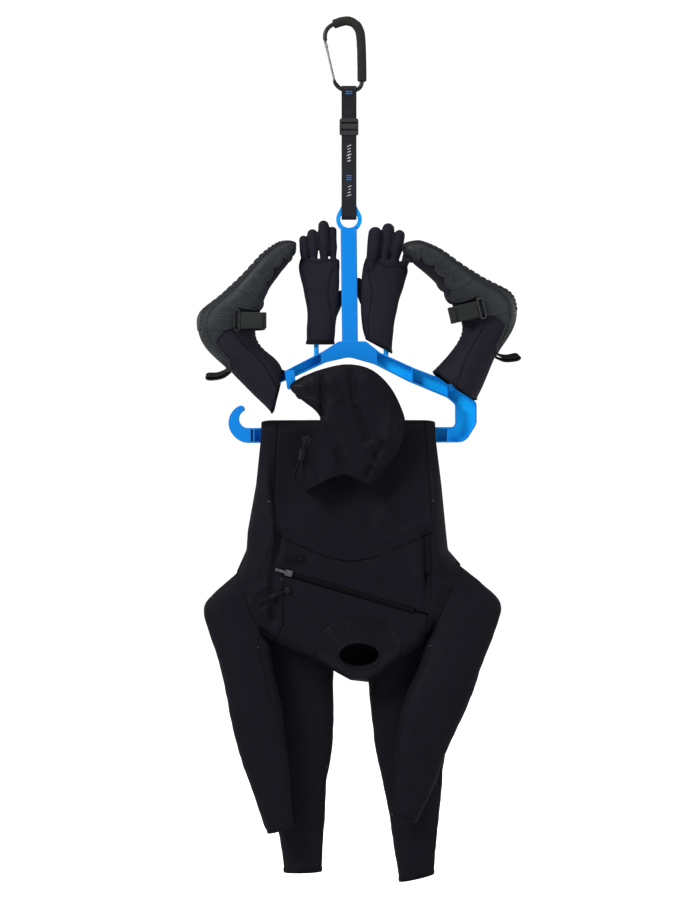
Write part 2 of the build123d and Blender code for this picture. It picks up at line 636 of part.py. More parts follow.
# ---------------------------------------------------------------- hood
HOOD_Y = -75
HOOD_FRONT = HOOD_Y - 21.5    # where its cord lies
HOOD = [
    (-84, -694, 44, -690, HOOD_Y, 14), (-112, -712, 72, -712, HOOD_Y, 26),
    (-106, -742, 98, -748, HOOD_Y, 32),
    (-96, -775, 107, -775, HOOD_Y, 34), (-92, -802, 110, -803, HOOD_Y, 34),
    (-98, -830, 104, -834, HOOD_Y, 34),
    (-110, -864, 86, -866, HOOD_Y, 34), (-118, -897, 60, -898, HOOD_Y, 34),
    (-118, -930, 44, -930, HOOD_Y, 34),
]
FACE_EDGE = [(-150, -741), (-101, -749), (-76, -768), (-63, -792), (-68, -820), (-97, -872), (-109, -899),
             (-98, -915), (-85, -925.5)]
NECK_EDGE = [(-39, -903), (-13, -895), (5, -899), (24, -911), (38, -916.5), (60, -916)]


def hood_cut():
    """What is missing from the form: the face opening at the left, and everything below the neck."""
    edge = Spline(*FACE_EDGE[1:])
    neck = Spline(FACE_EDGE[-1], *NECK_EDGE)
    frame_line = Polyline(NECK_EDGE[-1], (60, -960), (-150, -960), FACE_EDGE[0], FACE_EDGE[1])
    return slab(make_face([edge, neck, frame_line]), -110, -40)


cut = hood_cut()
hood_form = limb_form(HOOD)
hood = hood_form - limb_form(HOOD[1:], shrink=3, stretch=2) - cut
save(hood, "hood_shell")


def hood_band(thick, region):
    """A layer on the outside of the hood, inside a front-view region."""
    return ((limb_form(HOOD, shrink=-thick) - limb_form(HOOD, shrink=-0.02)) & slab(region, -110, -40)) - cut


visor_region = polygon([(-130, -690), (-84, -697), (-66, -716), (-84, -744), (-101, -748), (-130, -748)])
save(hood_band(2.0, visor_region), "hood_visor")
crown_region = polygon([
    (30, -695), (36, -697), (66, -740), (86, -792), (90, -832), (86, -832), (80, -792), (60, -742),
])
save(hood_band(0.9, crown_region), "hood_crown_seam")
hem_region = polygon([
    (-100, -940), (-88, -911), (-39, -891), (-13, -884), (5, -887), (24, -899), (70, -905), (70, -940),
])
save(hood_band(1.2, hem_region), "hood_neck_hem")

cord_path = Line((-88, HOOD_FRONT, -836), (-95, HOOD_FRONT, -886))
eyelet = Pos(-87.5, HOOD_FRONT + 2, -832) * Box(8, 9, 8)
hood_cord = rod(cord_path, 1.3) + eyelet + Pos(-95, HOOD_FRONT, -888) * Sphere(3)
save(hood_cord - hood_form, "hood_cord")
lock_run = (cord_path @ 1 - cord_path @ 0).normalized()
lock_start, lock_end = (Vector(*(cord_path @ 0)) + lock_run * d for d in (11, 33))
lock = cylinder_between(lock_start, lock_end, 6.5)
save(lock - cylinder_between(cord_path @ 0, cord_path @ 1, 1.36), "hood_cord_lock")
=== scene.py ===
"""The wetsuit set's looks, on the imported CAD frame.

Design values are in millimetres, and Blender works in metres.
"""
import math

import bmesh
import bpy
import numpy as np
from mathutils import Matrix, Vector
from mathutils.bvhtree import BVHTree
from mathutils.geometry import delaunay_2d_cdt


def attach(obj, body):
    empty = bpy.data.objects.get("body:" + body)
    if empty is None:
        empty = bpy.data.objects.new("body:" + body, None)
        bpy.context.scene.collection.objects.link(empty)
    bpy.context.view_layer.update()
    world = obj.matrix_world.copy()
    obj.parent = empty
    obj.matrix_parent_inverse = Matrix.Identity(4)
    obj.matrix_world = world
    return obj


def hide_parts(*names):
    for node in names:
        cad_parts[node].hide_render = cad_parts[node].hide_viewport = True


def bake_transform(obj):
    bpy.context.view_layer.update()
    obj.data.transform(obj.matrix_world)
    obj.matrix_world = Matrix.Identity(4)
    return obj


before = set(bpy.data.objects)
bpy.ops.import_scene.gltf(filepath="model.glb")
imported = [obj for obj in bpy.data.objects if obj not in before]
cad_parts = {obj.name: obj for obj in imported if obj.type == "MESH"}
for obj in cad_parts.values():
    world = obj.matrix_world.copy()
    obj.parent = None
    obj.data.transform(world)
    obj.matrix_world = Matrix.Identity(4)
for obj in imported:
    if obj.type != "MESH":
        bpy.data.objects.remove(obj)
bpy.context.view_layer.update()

scene = bpy.context.scene
PI = math.pi
MIX_FIRST, MIX_SECOND, MIX_RESULT = 6, 7, 2     # the colour sockets of a Mix node


# ---------------------------------------------------------------- materials
def node_material(name):
    mat = bpy.data.materials.new(name)
    mat.use_nodes = True
    tree = mat.node_tree
    shader = tree.nodes["Principled BSDF"]
    coords = tree.nodes.new("ShaderNodeTexCoord")
    return mat, tree, shader, coords.outputs["Object"]


def math_node(tree, operation, a, b):
    node = tree.nodes.new("ShaderNodeMath")
    node.operation = operation
    for slot, value in zip(node.inputs, (a, b)):
        if isinstance(value, (int, float)):
            slot.default_value = value
        else:
            tree.links.new(value, slot)
    return node.outputs[0]


def waves(tree, coords, direction, period_mm):
    node = tree.nodes.new("ShaderNodeTexWave")
    node.wave_type = "BANDS"
    node.bands_direction = direction
    node.wave_profile = "SIN"
    node.inputs["Scale"].default_value = 2 * PI / (20 * period_mm / 1000)
    node.inputs["Distortion"].default_value = 0.0
    tree.links.new(coords, node.inputs["Vector"])
    return node.outputs["Fac"]


def noise(tree, coords, size_mm, detail=3.0):
    node = tree.nodes.new("ShaderNodeTexNoise")
    node.inputs["Scale"].default_value = 1000 / size_mm
    node.inputs["Detail"].default_value = detail
    tree.links.new(coords, node.inputs["Vector"])
    return node.outputs["Fac"]


def cells(tree, coords, size_mm):
    node = tree.nodes.new("ShaderNodeTexVoronoi")
    node.inputs["Scale"].default_value = 1000 / size_mm
    tree.links.new(coords, node.inputs["Vector"])
    return node.outputs["Distance"]


def surface(name, dark, light, rough, pattern, depth_mm, specular=0.3, metal=0.0, mottle_mm=60.0,
            edge_mm=0.0):
    """A material: a colour that drifts between two values, roughness that drifts too, and a fine relief."""
    mat, tree, shader, coords = node_material(name)
    blend = tree.nodes.new("ShaderNodeMix")
    blend.data_type = "RGBA"
    blend.inputs[MIX_FIRST].default_value = (*dark, 1)
    blend.inputs[MIX_SECOND].default_value = (*light, 1)
    large = noise(tree, coords, mottle_mm, 4)
    height = pattern(tree, coords)
    drift = math_node(tree, "MULTIPLY", large, 0.6)
    texture = math_node(tree, "MULTIPLY", height, 0.4)
    tree.links.new(math_node(tree, "ADD", drift, texture), blend.inputs[0])
    tree.links.new(blend.outputs[MIX_RESULT], shader.inputs["Base Color"])
    spread = math_node(tree, "MULTIPLY_ADD", large, 0.16)
    spread.node.inputs[2].default_value = rough - 0.08
    tree.links.new(spread, shader.inputs["Roughness"])
    shader.inputs["Metallic"].default_value = metal
    shader.inputs["Specular IOR Level"].default_value = specular
    bump = tree.nodes.new("ShaderNodeBump")
    bump.inputs["Distance"].default_value = depth_mm / 1000
    bump.inputs["Strength"].default_value = 1.0
    tree.links.new(height, bump.inputs["Height"])
    if edge_mm:
        edge = tree.nodes.new("ShaderNodeBevel")
        edge.samples = 6
        edge.inputs["Radius"].default_value = edge_mm / 1000
        tree.links.new(edge.outputs["Normal"], bump.inputs["Normal"])
    tree.links.new(bump.outputs["Normal"], shader.inputs["Normal"])
    return mat


def knit(tree, coords):
    """A fine jersey: two diagonal rows of loops."""
    return math_node(tree, "MULTIPLY", waves(tree, coords, "X", 1.5), waves(tree, coords, "Z", 1.1))


def webbing_weave(tree, coords):
    """Herringbone webbing: bold rows across and fine ribs along."""
    rows = waves(tree, coords, "Z", 2.4)
    ribs = waves(tree, coords, "X", 2.0)
    return math_node(tree, "MAXIMUM", math_node(tree, "MULTIPLY", rows, 0.8), ribs)


def grain(tree, coords):
    return noise(tree, coords, 1.2, 5)


def soft_grain(tree, coords):
    return noise(tree, coords, 4.0, 3)


def foam_cells(tree, coords):
    return cells(tree, coords, 1.6)


def braid(tree, coords):
    return math_node(tree, "MAXIMUM", waves(tree, coords, "DIAGONAL", 1.2), waves(tree, coords, "Z", 1.4))


def brushed(tree, coords):
    return noise(tree, coords, 0.5, 6)


def ribbed(tree, coords):
    return math_node(tree, "MAXIMUM", waves(tree, coords, "Z", 3.2), noise(tree, coords, 0.8, 3))


SUIT = surface("neoprene_suit", (0.0034, 0.0031, 0.0056), (0.0068, 0.0062, 0.0106), 0.62, knit, 0.10,
               specular=0.07)
SUIT_SMOOTH = surface("neoprene_smooth_skin", (0.0030, 0.0028, 0.0048), (0.0056, 0.0052, 0.0086), 0.42,
                      soft_grain, 0.05, specular=0.09)
LINING = surface("neoprene_lining", (0.0030, 0.0030, 0.0038), (0.0075, 0.0075, 0.009), 0.85, knit, 0.14,
                 specular=0.05)
GLOVE = surface("neoprene_glove", (0.0080, 0.0073, 0.0125), (0.0145, 0.0132, 0.0215), 0.66, knit, 0.12,
                specular=0.07)
RUBBER = surface("boot_rubber", (0.011, 0.0125, 0.0145), (0.022, 0.0245, 0.028), 0.50, grain, 0.06,
                 specular=0.16, mottle_mm=25)
# painted highlight: a paler rubber colour for the lit edges on the boots
RUBBER_HIGHLIGHT = surface("boot_rubber_painted_highlight", (0.020, 0.022, 0.025), (0.044, 0.047, 0.052), 0.55, grain,
                      0.04, specular=0.15, mottle_mm=18)
STRAP_RUBBER = surface("boot_strap_webbing", (0.009, 0.010, 0.010), (0.024, 0.026, 0.026), 0.72, ribbed,
                       0.18, specular=0.12)
WEBBING = surface("strap_webbing", (0.006, 0.006, 0.008), (0.020, 0.020, 0.025), 0.78, webbing_weave, 0.22,
                  specular=0.10)
TICK = surface("woven_tick", (0.42, 0.43, 0.45), (0.62, 0.63, 0.65), 0.7, webbing_weave, 0.12)
TICK_BLUE = surface("woven_tick_blue", (0.01, 0.13, 0.42), (0.02, 0.20, 0.60), 0.7, webbing_weave, 0.12)
RACK_BLUE = surface("rack_plastic", (0.0, 0.170, 0.56), (0.0, 0.200, 0.65), 0.42, grain, 0.03, specular=0.22,
                    mottle_mm=180, edge_mm=1.6)
BLACK_PLASTIC = surface("moulded_black", (0.012, 0.012, 0.013), (0.024, 0.024, 0.026), 0.45, grain, 0.04,
                        specular=0.4, edge_mm=0.8)
ANODISED = surface("carabiner_black", (0.006, 0.006, 0.007), (0.012, 0.012, 0.013), 0.38, brushed, 0.015,
                   specular=0.25)
DARK_STEEL = surface("dark_steel", (0.055, 0.055, 0.06), (0.10, 0.10, 0.11), 0.34, brushed, 0.01, metal=1.0,
                     mottle_mm=12, edge_mm=0.4)
STEEL = surface("bright_steel", (0.42, 0.43, 0.45), (0.62, 0.63, 0.65), 0.26, brushed, 0.01, metal=1.0,
                mottle_mm=12, edge_mm=0.4)
GATE_STEEL = surface("gate_steel", (0.20, 0.20, 0.21), (0.34, 0.34, 0.35), 0.40, brushed, 0.01, metal=1.0,
                     mottle_mm=12, edge_mm=0.4)
FOAM = surface("foam_grip", (0.010, 0.010, 0.0095), (0.024, 0.024, 0.022), 0.85, foam_cells, 0.25,
               specular=0.10)
CORD = surface("braided_cord", (0.004, 0.004, 0.005), (0.011, 0.011, 0.013), 0.7, braid, 0.2, specular=0.1)
THREAD = surface("thread", (0.009, 0.0085, 0.012), (0.020, 0.019, 0.027), 0.6, grain, 0.05, specular=0.1)
TACK = surface("tack_thread", (0.035, 0.035, 0.04), (0.08, 0.08, 0.09), 0.6, grain, 0.05)
ZIP_TAPE = surface("zip_tape_cloth", (0.0024, 0.0024, 0.0036), (0.0055, 0.0052, 0.008), 0.7, knit, 0.1,
                   specular=0.06)
SEAM = surface("seam_tape", (0.0016, 0.0015, 0.0026), (0.0036, 0.0033, 0.0055), 0.55, knit, 0.06,
               specular=0.08)
TEETH = surface("zip_teeth_black", (0.002, 0.002, 0.0026), (0.005, 0.005, 0.006), 0.45, grain, 0.03,
                specular=0.12)
SLIDER = surface("zip_slider_metal", (0.16, 0.16, 0.17), (0.30, 0.30, 0.31), 0.30, brushed, 0.01, metal=1.0,
                 mottle_mm=8, edge_mm=0.3)


# ---------------------------------------------------------------- mesh helpers
def make(name, points, faces, material):
    mesh = bpy.data.meshes.new(name)
    mesh.from_pydata((np.asarray(points, float) / 1000).tolist(), [], [list(map(int, f)) for f in faces])
    mesh.materials.append(material)
    obj = bpy.data.objects.new(name, mesh)
    scene.collection.objects.link(obj)
    bm = bmesh.new()
    bm.from_mesh(mesh)
    bmesh.ops.recalc_face_normals(bm, faces=bm.faces)
    bm.to_mesh(mesh)
    bm.free()
    for face in mesh.polygons:
        face.use_smooth = True
    return obj


def merged(parts):
    """One list of points and one of faces, from several."""
    points, faces, start = [], [], 0
    for p, f in parts:
        points.append(np.asarray(p, float))
        faces.extend([[i + start for i in face] for face in f])
        start += len(p)
    return np.concatenate(points), faces


def join(name, parts, material):
    return make(name, *merged(parts), material)


def spline(a, b, c, d, t):
    """The place at t, from 0 at b to 1 at c, on a smooth curve through all four."""
    return 0.5 * (2 * b + (c - a) * t + (2 * a - 5 * b + 4 * c - d) * t**2 + (3 * b - a - 3 * c + d) * t**3)


def smoothed(points, closed=False, steps=6):
    """Points on a smooth curve through the given ones."""
    p = np.asarray(points, float)
    n = len(p)
    out = []
    for i in range(n if closed else n - 1):
        if closed:
            a, b, c, d = p[i - 1], p[i], p[(i + 1) % n], p[(i + 2) % n]
        else:
            a, b, c, d = p[max(i - 1, 0)], p[i], p[i + 1], p[min(i + 2, n - 1)]
        out += [spline(a, b, c, d, k / steps) for k in range(steps)]
    if not closed:
        out.append(p[-1])
    return np.array(out)


def resample(points, step, closed=False):
    p = np.asarray(points, float)
    if closed:
        p = np.vstack([p, p[:1]])
    lengths = np.linalg.norm(np.diff(p, axis=0), axis=1)
    total = np.concatenate([[0], np.cumsum(lengths)])
    count = max(2, int(round(total[-1] / step)))
    at = np.linspace(0, total[-1], count + 1)
    out = np.stack([np.interp(at, total, p[:, k]) for k in range(p.shape[1])], 1)
    return out[:-1] if closed else out


def swept_faces(rings, sides):
    """Faces between closed rings of points, with both ends capped."""
    faces = []
    for i in range(rings - 1):
        for k in range(sides):
            a, b = i * sides + k, i * sides + (k + 1) % sides
            faces.append([a, b, b + sides, a + sides])
    faces.append(list(range(sides))[::-1])
    faces.append([(rings - 1) * sides + k for k in range(sides)])
    return faces


def tube_data(path, radius, sides=8, squash=1.0):
    """Points and faces of a round cord along a 3-D path, with closed ends."""
    p = np.asarray(path, float)
    radius = np.broadcast_to(radius, len(p))
    tangent = np.gradient(p, axis=0)
    tangent /= np.linalg.norm(tangent, axis=1)[:, None] + 1e-12
    side = np.cross(tangent[0], (0.12, 0.97, 0.2))
    points = []
    for q, t, r in zip(p, tangent, radius):
        side = side - t * side.dot(t)
        side /= np.linalg.norm(side)
        up = np.cross(t, side)
        for k in range(sides):
            a = 2 * PI * k / sides
            points.append(q + r * (math.cos(a) * side + squash * math.sin(a) * up))
    return np.array(points), swept_faces(len(p), sides)


def stitch_data(path, spacing=4.0, length=2.4, radius=0.45):
    """A row of stitches along a 3-D path."""
    row = resample(path, spacing / 4)
    parts = []
    count = max(1, int(round(length / (spacing / 4))))
    for i in range(0, len(row) - count, 4):
        parts.append(tube_data(row[i : i + count + 1], radius, sides=5))
    return parts


def ripples(seed, scale_mm, stretch=(1.0, 1.0, 1.0)):
    """A smooth, seeded field over space, from -1 to 1, as a sum of waves."""
    rng = np.random.default_rng(seed)
    ways = rng.normal(size=(14, 3))
    ways /= np.linalg.norm(ways, axis=1)[:, None]
    ways *= (rng.uniform(0.6, 1.5, 14) * 2 * PI / scale_mm)[:, None] * np.array(stretch)
    phases = rng.uniform(0, 2 * PI, 14)

    def field(points):
        return np.sin(np.asarray(points) @ ways.T + phases).sum(-1) / 5.0

    return field


def inside(points, outline):
    p, a = np.asarray(points, float), np.asarray(outline, float)
    b = np.roll(a, -1, 0)
    x, z = p[:, 0:1], p[:, 1:2]
    straddles = (a[:, 1] > z) != (b[:, 1] > z)
    crossing = (b[:, 0] - a[:, 0]) * (z - a[:, 1]) / (b[:, 1] - a[:, 1] + 1e-12) + a[:, 0]
    return (straddles & (x < crossing)).sum(1) % 2 == 1


def distance(points, lines):
    p = np.asarray(points, float)[:, None, :]
    best = np.full(len(points), 1e9)
    for line in lines:
        line = np.asarray(line, float)
        a, ab = line[:-1], np.diff(line, axis=0)
        t = np.clip(((p - a) * ab).sum(2) / ((ab**2).sum(1) + 1e-9), 0, 1)
        best = np.minimum(best, np.linalg.norm(p - (a + t[:, :, None] * ab), axis=2).min(1))
    return best


def crown(points, closed, reach):
    """1 well inside a form, falling in a quarter round to 0 at its closed edges."""
    d = np.clip(distance(points, closed) / reach, 0, 1)
    return np.sqrt(np.clip(1 - (1 - d) ** 2, 0, 1))


def signed_area(loop):
    nxt = np.roll(loop, -1, 0)
    return (loop[:, 0] * nxt[:, 1] - nxt[:, 0] * loop[:, 1]).sum() / 2


def panel_data(outline, place, thick=3.5, step=5.0, holes=(), edge=0.8, lift=0.0):
    """A thick sheet cut to a 2-D outline and laid on a surface by place(points, lift)."""
    loops = []
    for k, line in enumerate([outline, *holes]):
        loop = resample(line, step if k == 0 else step * 0.6, closed=True)
        if (signed_area(loop) > 0) != (k == 0):
            loop = loop[::-1]
        loops.append(loop)
    rings = []
    for loop in loops:
        along = np.roll(loop, -1, 0) - np.roll(loop, 1, 0)
        along /= np.linalg.norm(along, axis=1)[:, None] + 1e-9
        rings.append(loop + np.stack([-along[:, 1], along[:, 0]], 1) * 1.5)
    low, high = loops[0].min(0), loops[0].max(0)
    xs, zs = np.meshgrid(np.arange(low[0], high[0], step), np.arange(low[1], high[1], step * 0.87))
    xs[1::2] += step / 2
    grid = np.stack([xs.ravel(), zs.ravel()], 1)
    edges_of = [np.vstack([l, l[:1]]) for l in loops]

    def within(points, margin):
        keep = inside(points, loops[0]) & (distance(points, edges_of) > margin)
        for hole in loops[1:]:
            keep &= ~inside(points, hole)
        return keep

    grid = grid[within(grid, 1.5 + step * 0.45)]
    rings = [r[within(r, 1.0)] for r in rings]
    points = np.vstack([*loops, *rings, grid])
    edges, start = [], 0
    for loop in loops:
        edges += [(start + i, start + (i + 1) % len(loop)) for i in range(len(loop))]
        start += len(loop)
    rim = start
    verts, _, faces, origin, _, _ = delaunay_2d_cdt([Vector(p) for p in points], edges, [], 0, 1e-4)
    verts = np.array([v[:] for v in verts])
    on_rim = np.array([any(o < rim for o in group) if group else False for group in origin])
    faces = np.array([f for f in faces if len(f) == 3])
    middle = verts[faces].mean(1)
    keep = inside(middle, loops[0])
    for hole in loops[1:]:
        keep &= ~inside(middle, hole)
    faces = faces[keep]
    outer = place(verts, np.where(on_rim, lift - edge, lift))
    inner = place(verts, np.full(len(verts), lift - thick))
    count = len(verts)
    sides = {}
    for a, b, c in faces.tolist():
        for edge_pair in ((a, b), (b, c), (c, a)):
            sides[edge_pair] = True
    walls = [[a, b, b + count, a + count] for a, b in sides if (b, a) not in sides]
    all_faces = faces.tolist() + [[a + count, c + count, b + count] for a, b, c in faces.tolist()] + walls
    return np.vstack([outer, inner]), all_faces


class Limb:
    """A soft tube through stations (x1, z1, x2, z2, y, depth, squareness)."""

    def __init__(self, stations, ripple=None):
        self.rows = np.array([s if len(s) == 7 else (*s, 2.0) for s in stations], float)
        self.ripple = ripple

    def row(self, u):
        rows, last = self.rows, len(self.rows) - 1
        s = np.clip(u, 0, 1) * last
        i = np.minimum(s.astype(int), last - 1)
        t = (s - i)[:, None]
        a, b = rows[np.maximum(i - 1, 0)], rows[i]
        c, d = rows[i + 1], rows[np.minimum(i + 2, last)]
        return spline(a, b, c, d, t)

    def shape(self, u, turn):
        r = self.row(u)
        c, s, e = np.cos(turn), np.sin(turn), 2 / r[:, 6]
        c, s = np.sign(c) * np.abs(c) ** e, np.sign(s) * np.abs(s) ** e
        mid_x, mid_z = (r[:, 0] + r[:, 2]) / 2, (r[:, 1] + r[:, 3]) / 2
        return np.stack([mid_x + (r[:, 2] - r[:, 0]) / 2 * c, r[:, 4] + r[:, 5] / 2 * s,
                         mid_z + (r[:, 3] - r[:, 1]) / 2 * c], 1)

    def at(self, u, turn, lift=0.0):
        """Points on the tube: u runs along it from 0 to 1, turn round it from 0 at (x2, z2), pi/2 behind."""
        u, turn = np.broadcast_arrays(np.asarray(u, float), np.asarray(turn, float))
        u, turn = u.ravel(), turn.ravel()
        p = self.shape(u, turn)
        u0, u1 = np.clip(u - 0.004, 0, 1), np.clip(u + 0.004, 0, 1)
        along = self.shape(u1, turn) - self.shape(u0, turn)
        around = self.shape(u, turn + 0.02) - self.shape(u, turn - 0.02)
        n = np.cross(along, around)
        n /= np.linalg.norm(n, axis=1)[:, None] + 1e-9
        r = self.row(u)
        out = p - np.stack([(r[:, 0] + r[:, 2]) / 2, r[:, 4], (r[:, 1] + r[:, 3]) / 2], 1)
        n *= np.where((n * out).sum(1) < 0, -1, 1)[:, None]
        rise = np.broadcast_to(np.asarray(lift, float), u.shape)
        if self.ripple is not None:
            rise = rise + self.ripple(p, u, turn)
        return p + n * rise[:, None]


def sleeve_data(limb, u0=0.0, u1=1.0, nu=90, nv=72, lift=0.0, thick=3.5, close_start=False):
    """A whole tube of the limb, with a wall and rounded rims."""
    u = np.linspace(u0, u1, nu)
    v = np.linspace(0, 2 * PI, nv, endpoint=False)
    uu, vv = np.repeat(u, nv), np.tile(v, nu)
    soft = np.zeros(nu)
    soft[-1] = -0.5 * min(thick, 2.0)
    outer = limb.at(uu, vv, lift + np.repeat(soft, nv))
    inner = limb.at(uu, vv, lift - thick)
    count = nu * nv
    faces = []
    for i in range(nu - 1):
        for k in range(nv):
            a, b = i * nv + k, i * nv + (k + 1) % nv
            faces.append([a, b, b + nv, a + nv])
            faces.append([a + count, a + nv + count, b + nv + count, b + count])
    for k in range(nv):
        a, b = (nu - 1) * nv + k, (nu - 1) * nv + (k + 1) % nv
        faces.append([a, b, b + count, a + count])
        if not close_start:
            faces.append([k, k + count, (k + 1) % nv + count, (k + 1) % nv])
    points = np.vstack([outer, inner])
    if close_start:
        points = np.vstack([points, outer[:nv].mean(0), inner[:nv].mean(0)])
        for k in range(nv):
            faces.append([k, 2 * count, (k + 1) % nv])
            faces.append([k + count, (k + 1) % nv + count, 2 * count + 1])
    return points, faces


def patch_data(limb, u0, u1, turn0, turn1, nu=40, nv=24, lift=1.5, thick=1.5, sink=None):
    """A layer on part of a limb. turn0 and turn1 may be functions of u."""
    sink = thick * 0.8 if sink is None else sink
    us = np.concatenate([[0, 0.012], np.linspace(0.03, 0.97, nu - 4), [0.988, 1]]) * (u1 - u0) + u0
    t = np.concatenate([[0, 0.02], np.linspace(0.06, 0.94, nv - 4), [0.98, 1]])
    low = np.array([turn0(x) if callable(turn0) else turn0 for x in us])
    high = np.array([turn1(x) if callable(turn1) else turn1 for x in us])
    turns = low[:, None] + (high - low)[:, None] * t[None, :]
    uu = np.repeat(us, nv)
    rise = np.full((nu, nv), float(lift))
    rise[[0, -1], :] -= sink
    rise[:, [0, -1]] = lift - sink
    outer = limb.at(uu, turns.ravel(), rise.ravel())
    inner = limb.at(uu, turns.ravel(), lift - thick - 0.4)
    count = nu * nv
    faces = []
    for i in range(nu - 1):
        for k in range(nv - 1):
            a = i * nv + k
            faces.append([a, a + 1, a + 1 + nv, a + nv])
            faces.append([a + count, a + nv + count, a + 1 + nv + count, a + 1 + count])
    border = ([k for k in range(nv)] + [i * nv + nv - 1 for i in range(1, nu)]
              + [(nu - 1) * nv + k for k in range(nv - 2, -1, -1)] + [i * nv for i in range(nu - 2, 0, -1)])
    for a, b in zip(border, border[1:] + border[:1]):
        faces.append([a, b, b + count, a + count])
    return np.vstack([outer, inner]), faces


def path_on(limb, points, lift=0.5, steps=10):
    """A smooth path through (u, turn) points on a limb."""
    row = smoothed(points, steps=steps)
    return limb.at(row[:, 0], row[:, 1], lift)


def finish_piece(obj, body, slot, *replaced, blend=None):
    if replaced:
        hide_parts(*replaced)
    if blend:
        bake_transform(obj)
    else:
        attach(obj, body)
    return obj


def torso_blend(obj, slot_name, *replaced):
    """A piece of the suit's body, with its place baked into its mesh; it hides the CAD parts that it
    replaces.
    """
    return finish_piece(obj, None, slot_name, *replaced,
                        blend=("hips", "torso", (0, TORSO_Y, BAR_Z), (0, TORSO_Y, BAR_Z - 52)))


# ---------------------------------------------------------------- carabiner and its foam grip
BAR_Z = -818.0       # the middle of the bar that the suit is folded over
TORSO_Y = -25.5      # the middle of the suit's front half
LINK_Z = -128.0      # the carabiner's bottom bar
GRIP_PATH = [(-32, 3), (-8, 10), (9, 6), (20, -7), (24, -28), (25.5, -68), (26, -112)]


def build_grip():
    path = np.array([(x, 0, z) for x, z in GRIP_PATH], float)
    path = resample(smoothed(path, steps=12), 1.0)
    n = len(path)
    along = np.arange(n) * 1.0
    ends = np.minimum(along, along[::-1])
    radius = 9.2 * np.sqrt(np.clip(1 - (1 - np.clip(ends / 2.5, 0, 1)) ** 2, 0.25, 1))
    radius = radius - 0.25 * (np.sin(along / 3.1) * np.exp(-(((along - 45) / 26) ** 2)))
    points, faces = tube_data(path, radius, sides=40)
    lumps = ripples(3, 14)
    middle = np.repeat(path, 40, axis=0)
    points = middle + (points - middle) * (1 + 0.016 * lumps(points))[:, None]
    obj = make("grip_foam", points, faces, FOAM)
    finish_piece(obj, "carabiner", "foam", "foam_grip")


# ---------------------------------------------------------------- strap
def band_section(across, fat):
    """The closed section of a band: out along its front, and back along its rear."""
    return list(zip(across, fat)) + [(a, -f) for a, f in zip(across[::-1], fat[::-1])]


def ribbon_data(path, half_width=15.0, thick=1.6, seed=1):
    """Webbing along a (y, z) path: flat, with soft selvedges and a faint waviness."""
    p = resample(smoothed(path, steps=5), 1.5)
    t = np.gradient(p, axis=0)
    t /= np.linalg.norm(t, axis=1)[:, None]
    normal = np.stack([-t[:, 1], t[:, 0]], 1)
    across = np.concatenate([[-1, -0.985], np.linspace(-0.93, 0.93, 15), [0.985, 1]])
    fat = np.concatenate([[0.25, 0.75], np.ones(15), [0.75, 0.25]])
    wave = ripples(seed, 60)
    ring = band_section(across, fat)
    points = []
    for q, n in zip(p, normal):
        for a, f in ring:
            x = a * half_width
            sway = 0.12 * wave((x, q[0], q[1]))
            y, z = q + n * (f * thick / 2 + sway)
            points.append((x, y, z))
    return np.array(points), swept_faces(len(p), len(ring))


def arc(centre, radius, start, end, steps):
    turns = np.radians(np.linspace(start, end, steps + 1))
    return [(centre[0] + radius * math.cos(t), centre[1] + radius * math.sin(t)) for t in turns]


def build_strap():
    """Two lengths of webbing, with box stitching, woven ticks and bars."""
    loop = arc((0, LINK_Z), 7.65, -20, 200, 14)
    upper = ribbon_data([(1.0, -154), *loop, (-0.8, -152), (-0.8, -226), (-0.8, -300)], seed=4)
    obj = make("strap_upper_woven", *upper, WEBBING)
    finish_piece(obj, "strap_upper", "webbing", "strap_upper_webbing")
    front = [(-2.6, -208), (-2.6, -250), (-2.6, -292), (-8.6, -338), (-8.6, -372)]
    back = [(8.6, -372), (8.6, -338), (1.4, -292), (1.4, -250), (1.4, -208)]
    lower = ribbon_data([*front, *arc((0, -378.4), 8.6, 180, 360, 10), *back], seed=5)
    obj = make("strap_lower_woven", *lower, WEBBING)
    finish_piece(obj, "strap_lower", "webbing", "strap_lower_webbing")

    def front_y(z):
        return np.interp(-z, [208, 292, 338, 372], [-3.4, -3.4, -9.4, -9.4])

    for body, y, z0, z1 in (("strap_upper", -1.75, -158, -178), ("strap_lower", -3.55, -212, -230)):
        box = [(-12, z0), (12, z0), (12, z1), (-12, z1), (-12, z0), (12, z1)]
        rows = stitch_data([(x, y, z) for x, z in box], spacing=2.6, length=1.8, radius=0.28)
        finish_piece(join(f"{body}_stitching", rows, THREAD), body, "webbing")
    ticks = []
    for k, z in enumerate(list(np.arange(-240, -276, -6.0)) + list(np.arange(-322, -364, -6.0))):
        width = 3.2 if k % 3 else 4.6
        path = [(x, front_y(z) + 0.2, z + 0.35 * x) for x in np.linspace(-width, width, 5)]
        ticks.append(tube_data(path, 0.85, sides=8, squash=0.4))
    finish_piece(join("strap_woven_ticks", ticks, TICK), "strap_lower", "webbing")

    def bars(heights, half, y_at):
        """Short woven bars across the webbing."""
        rows = [[(x, y_at(z), z) for x in np.linspace(-half, half, 5)] for z in heights]
        return [tube_data(row, 0.85, sides=8, squash=0.5) for row in rows]

    lower_bars = bars((-300, -304, -308), 5.0, lambda z: front_y(z) + 0.1)
    finish_piece(join("strap_woven_bars_lower", lower_bars, TICK_BLUE), "strap_lower", "webbing")
    upper_bars = bars((-132.4, -136.4), 6.5, lambda z: -8.75 + 0.08 * (z + 134) ** 2)
    finish_piece(join("strap_woven_bars_upper", upper_bars, TICK_BLUE), "strap_upper", "webbing")


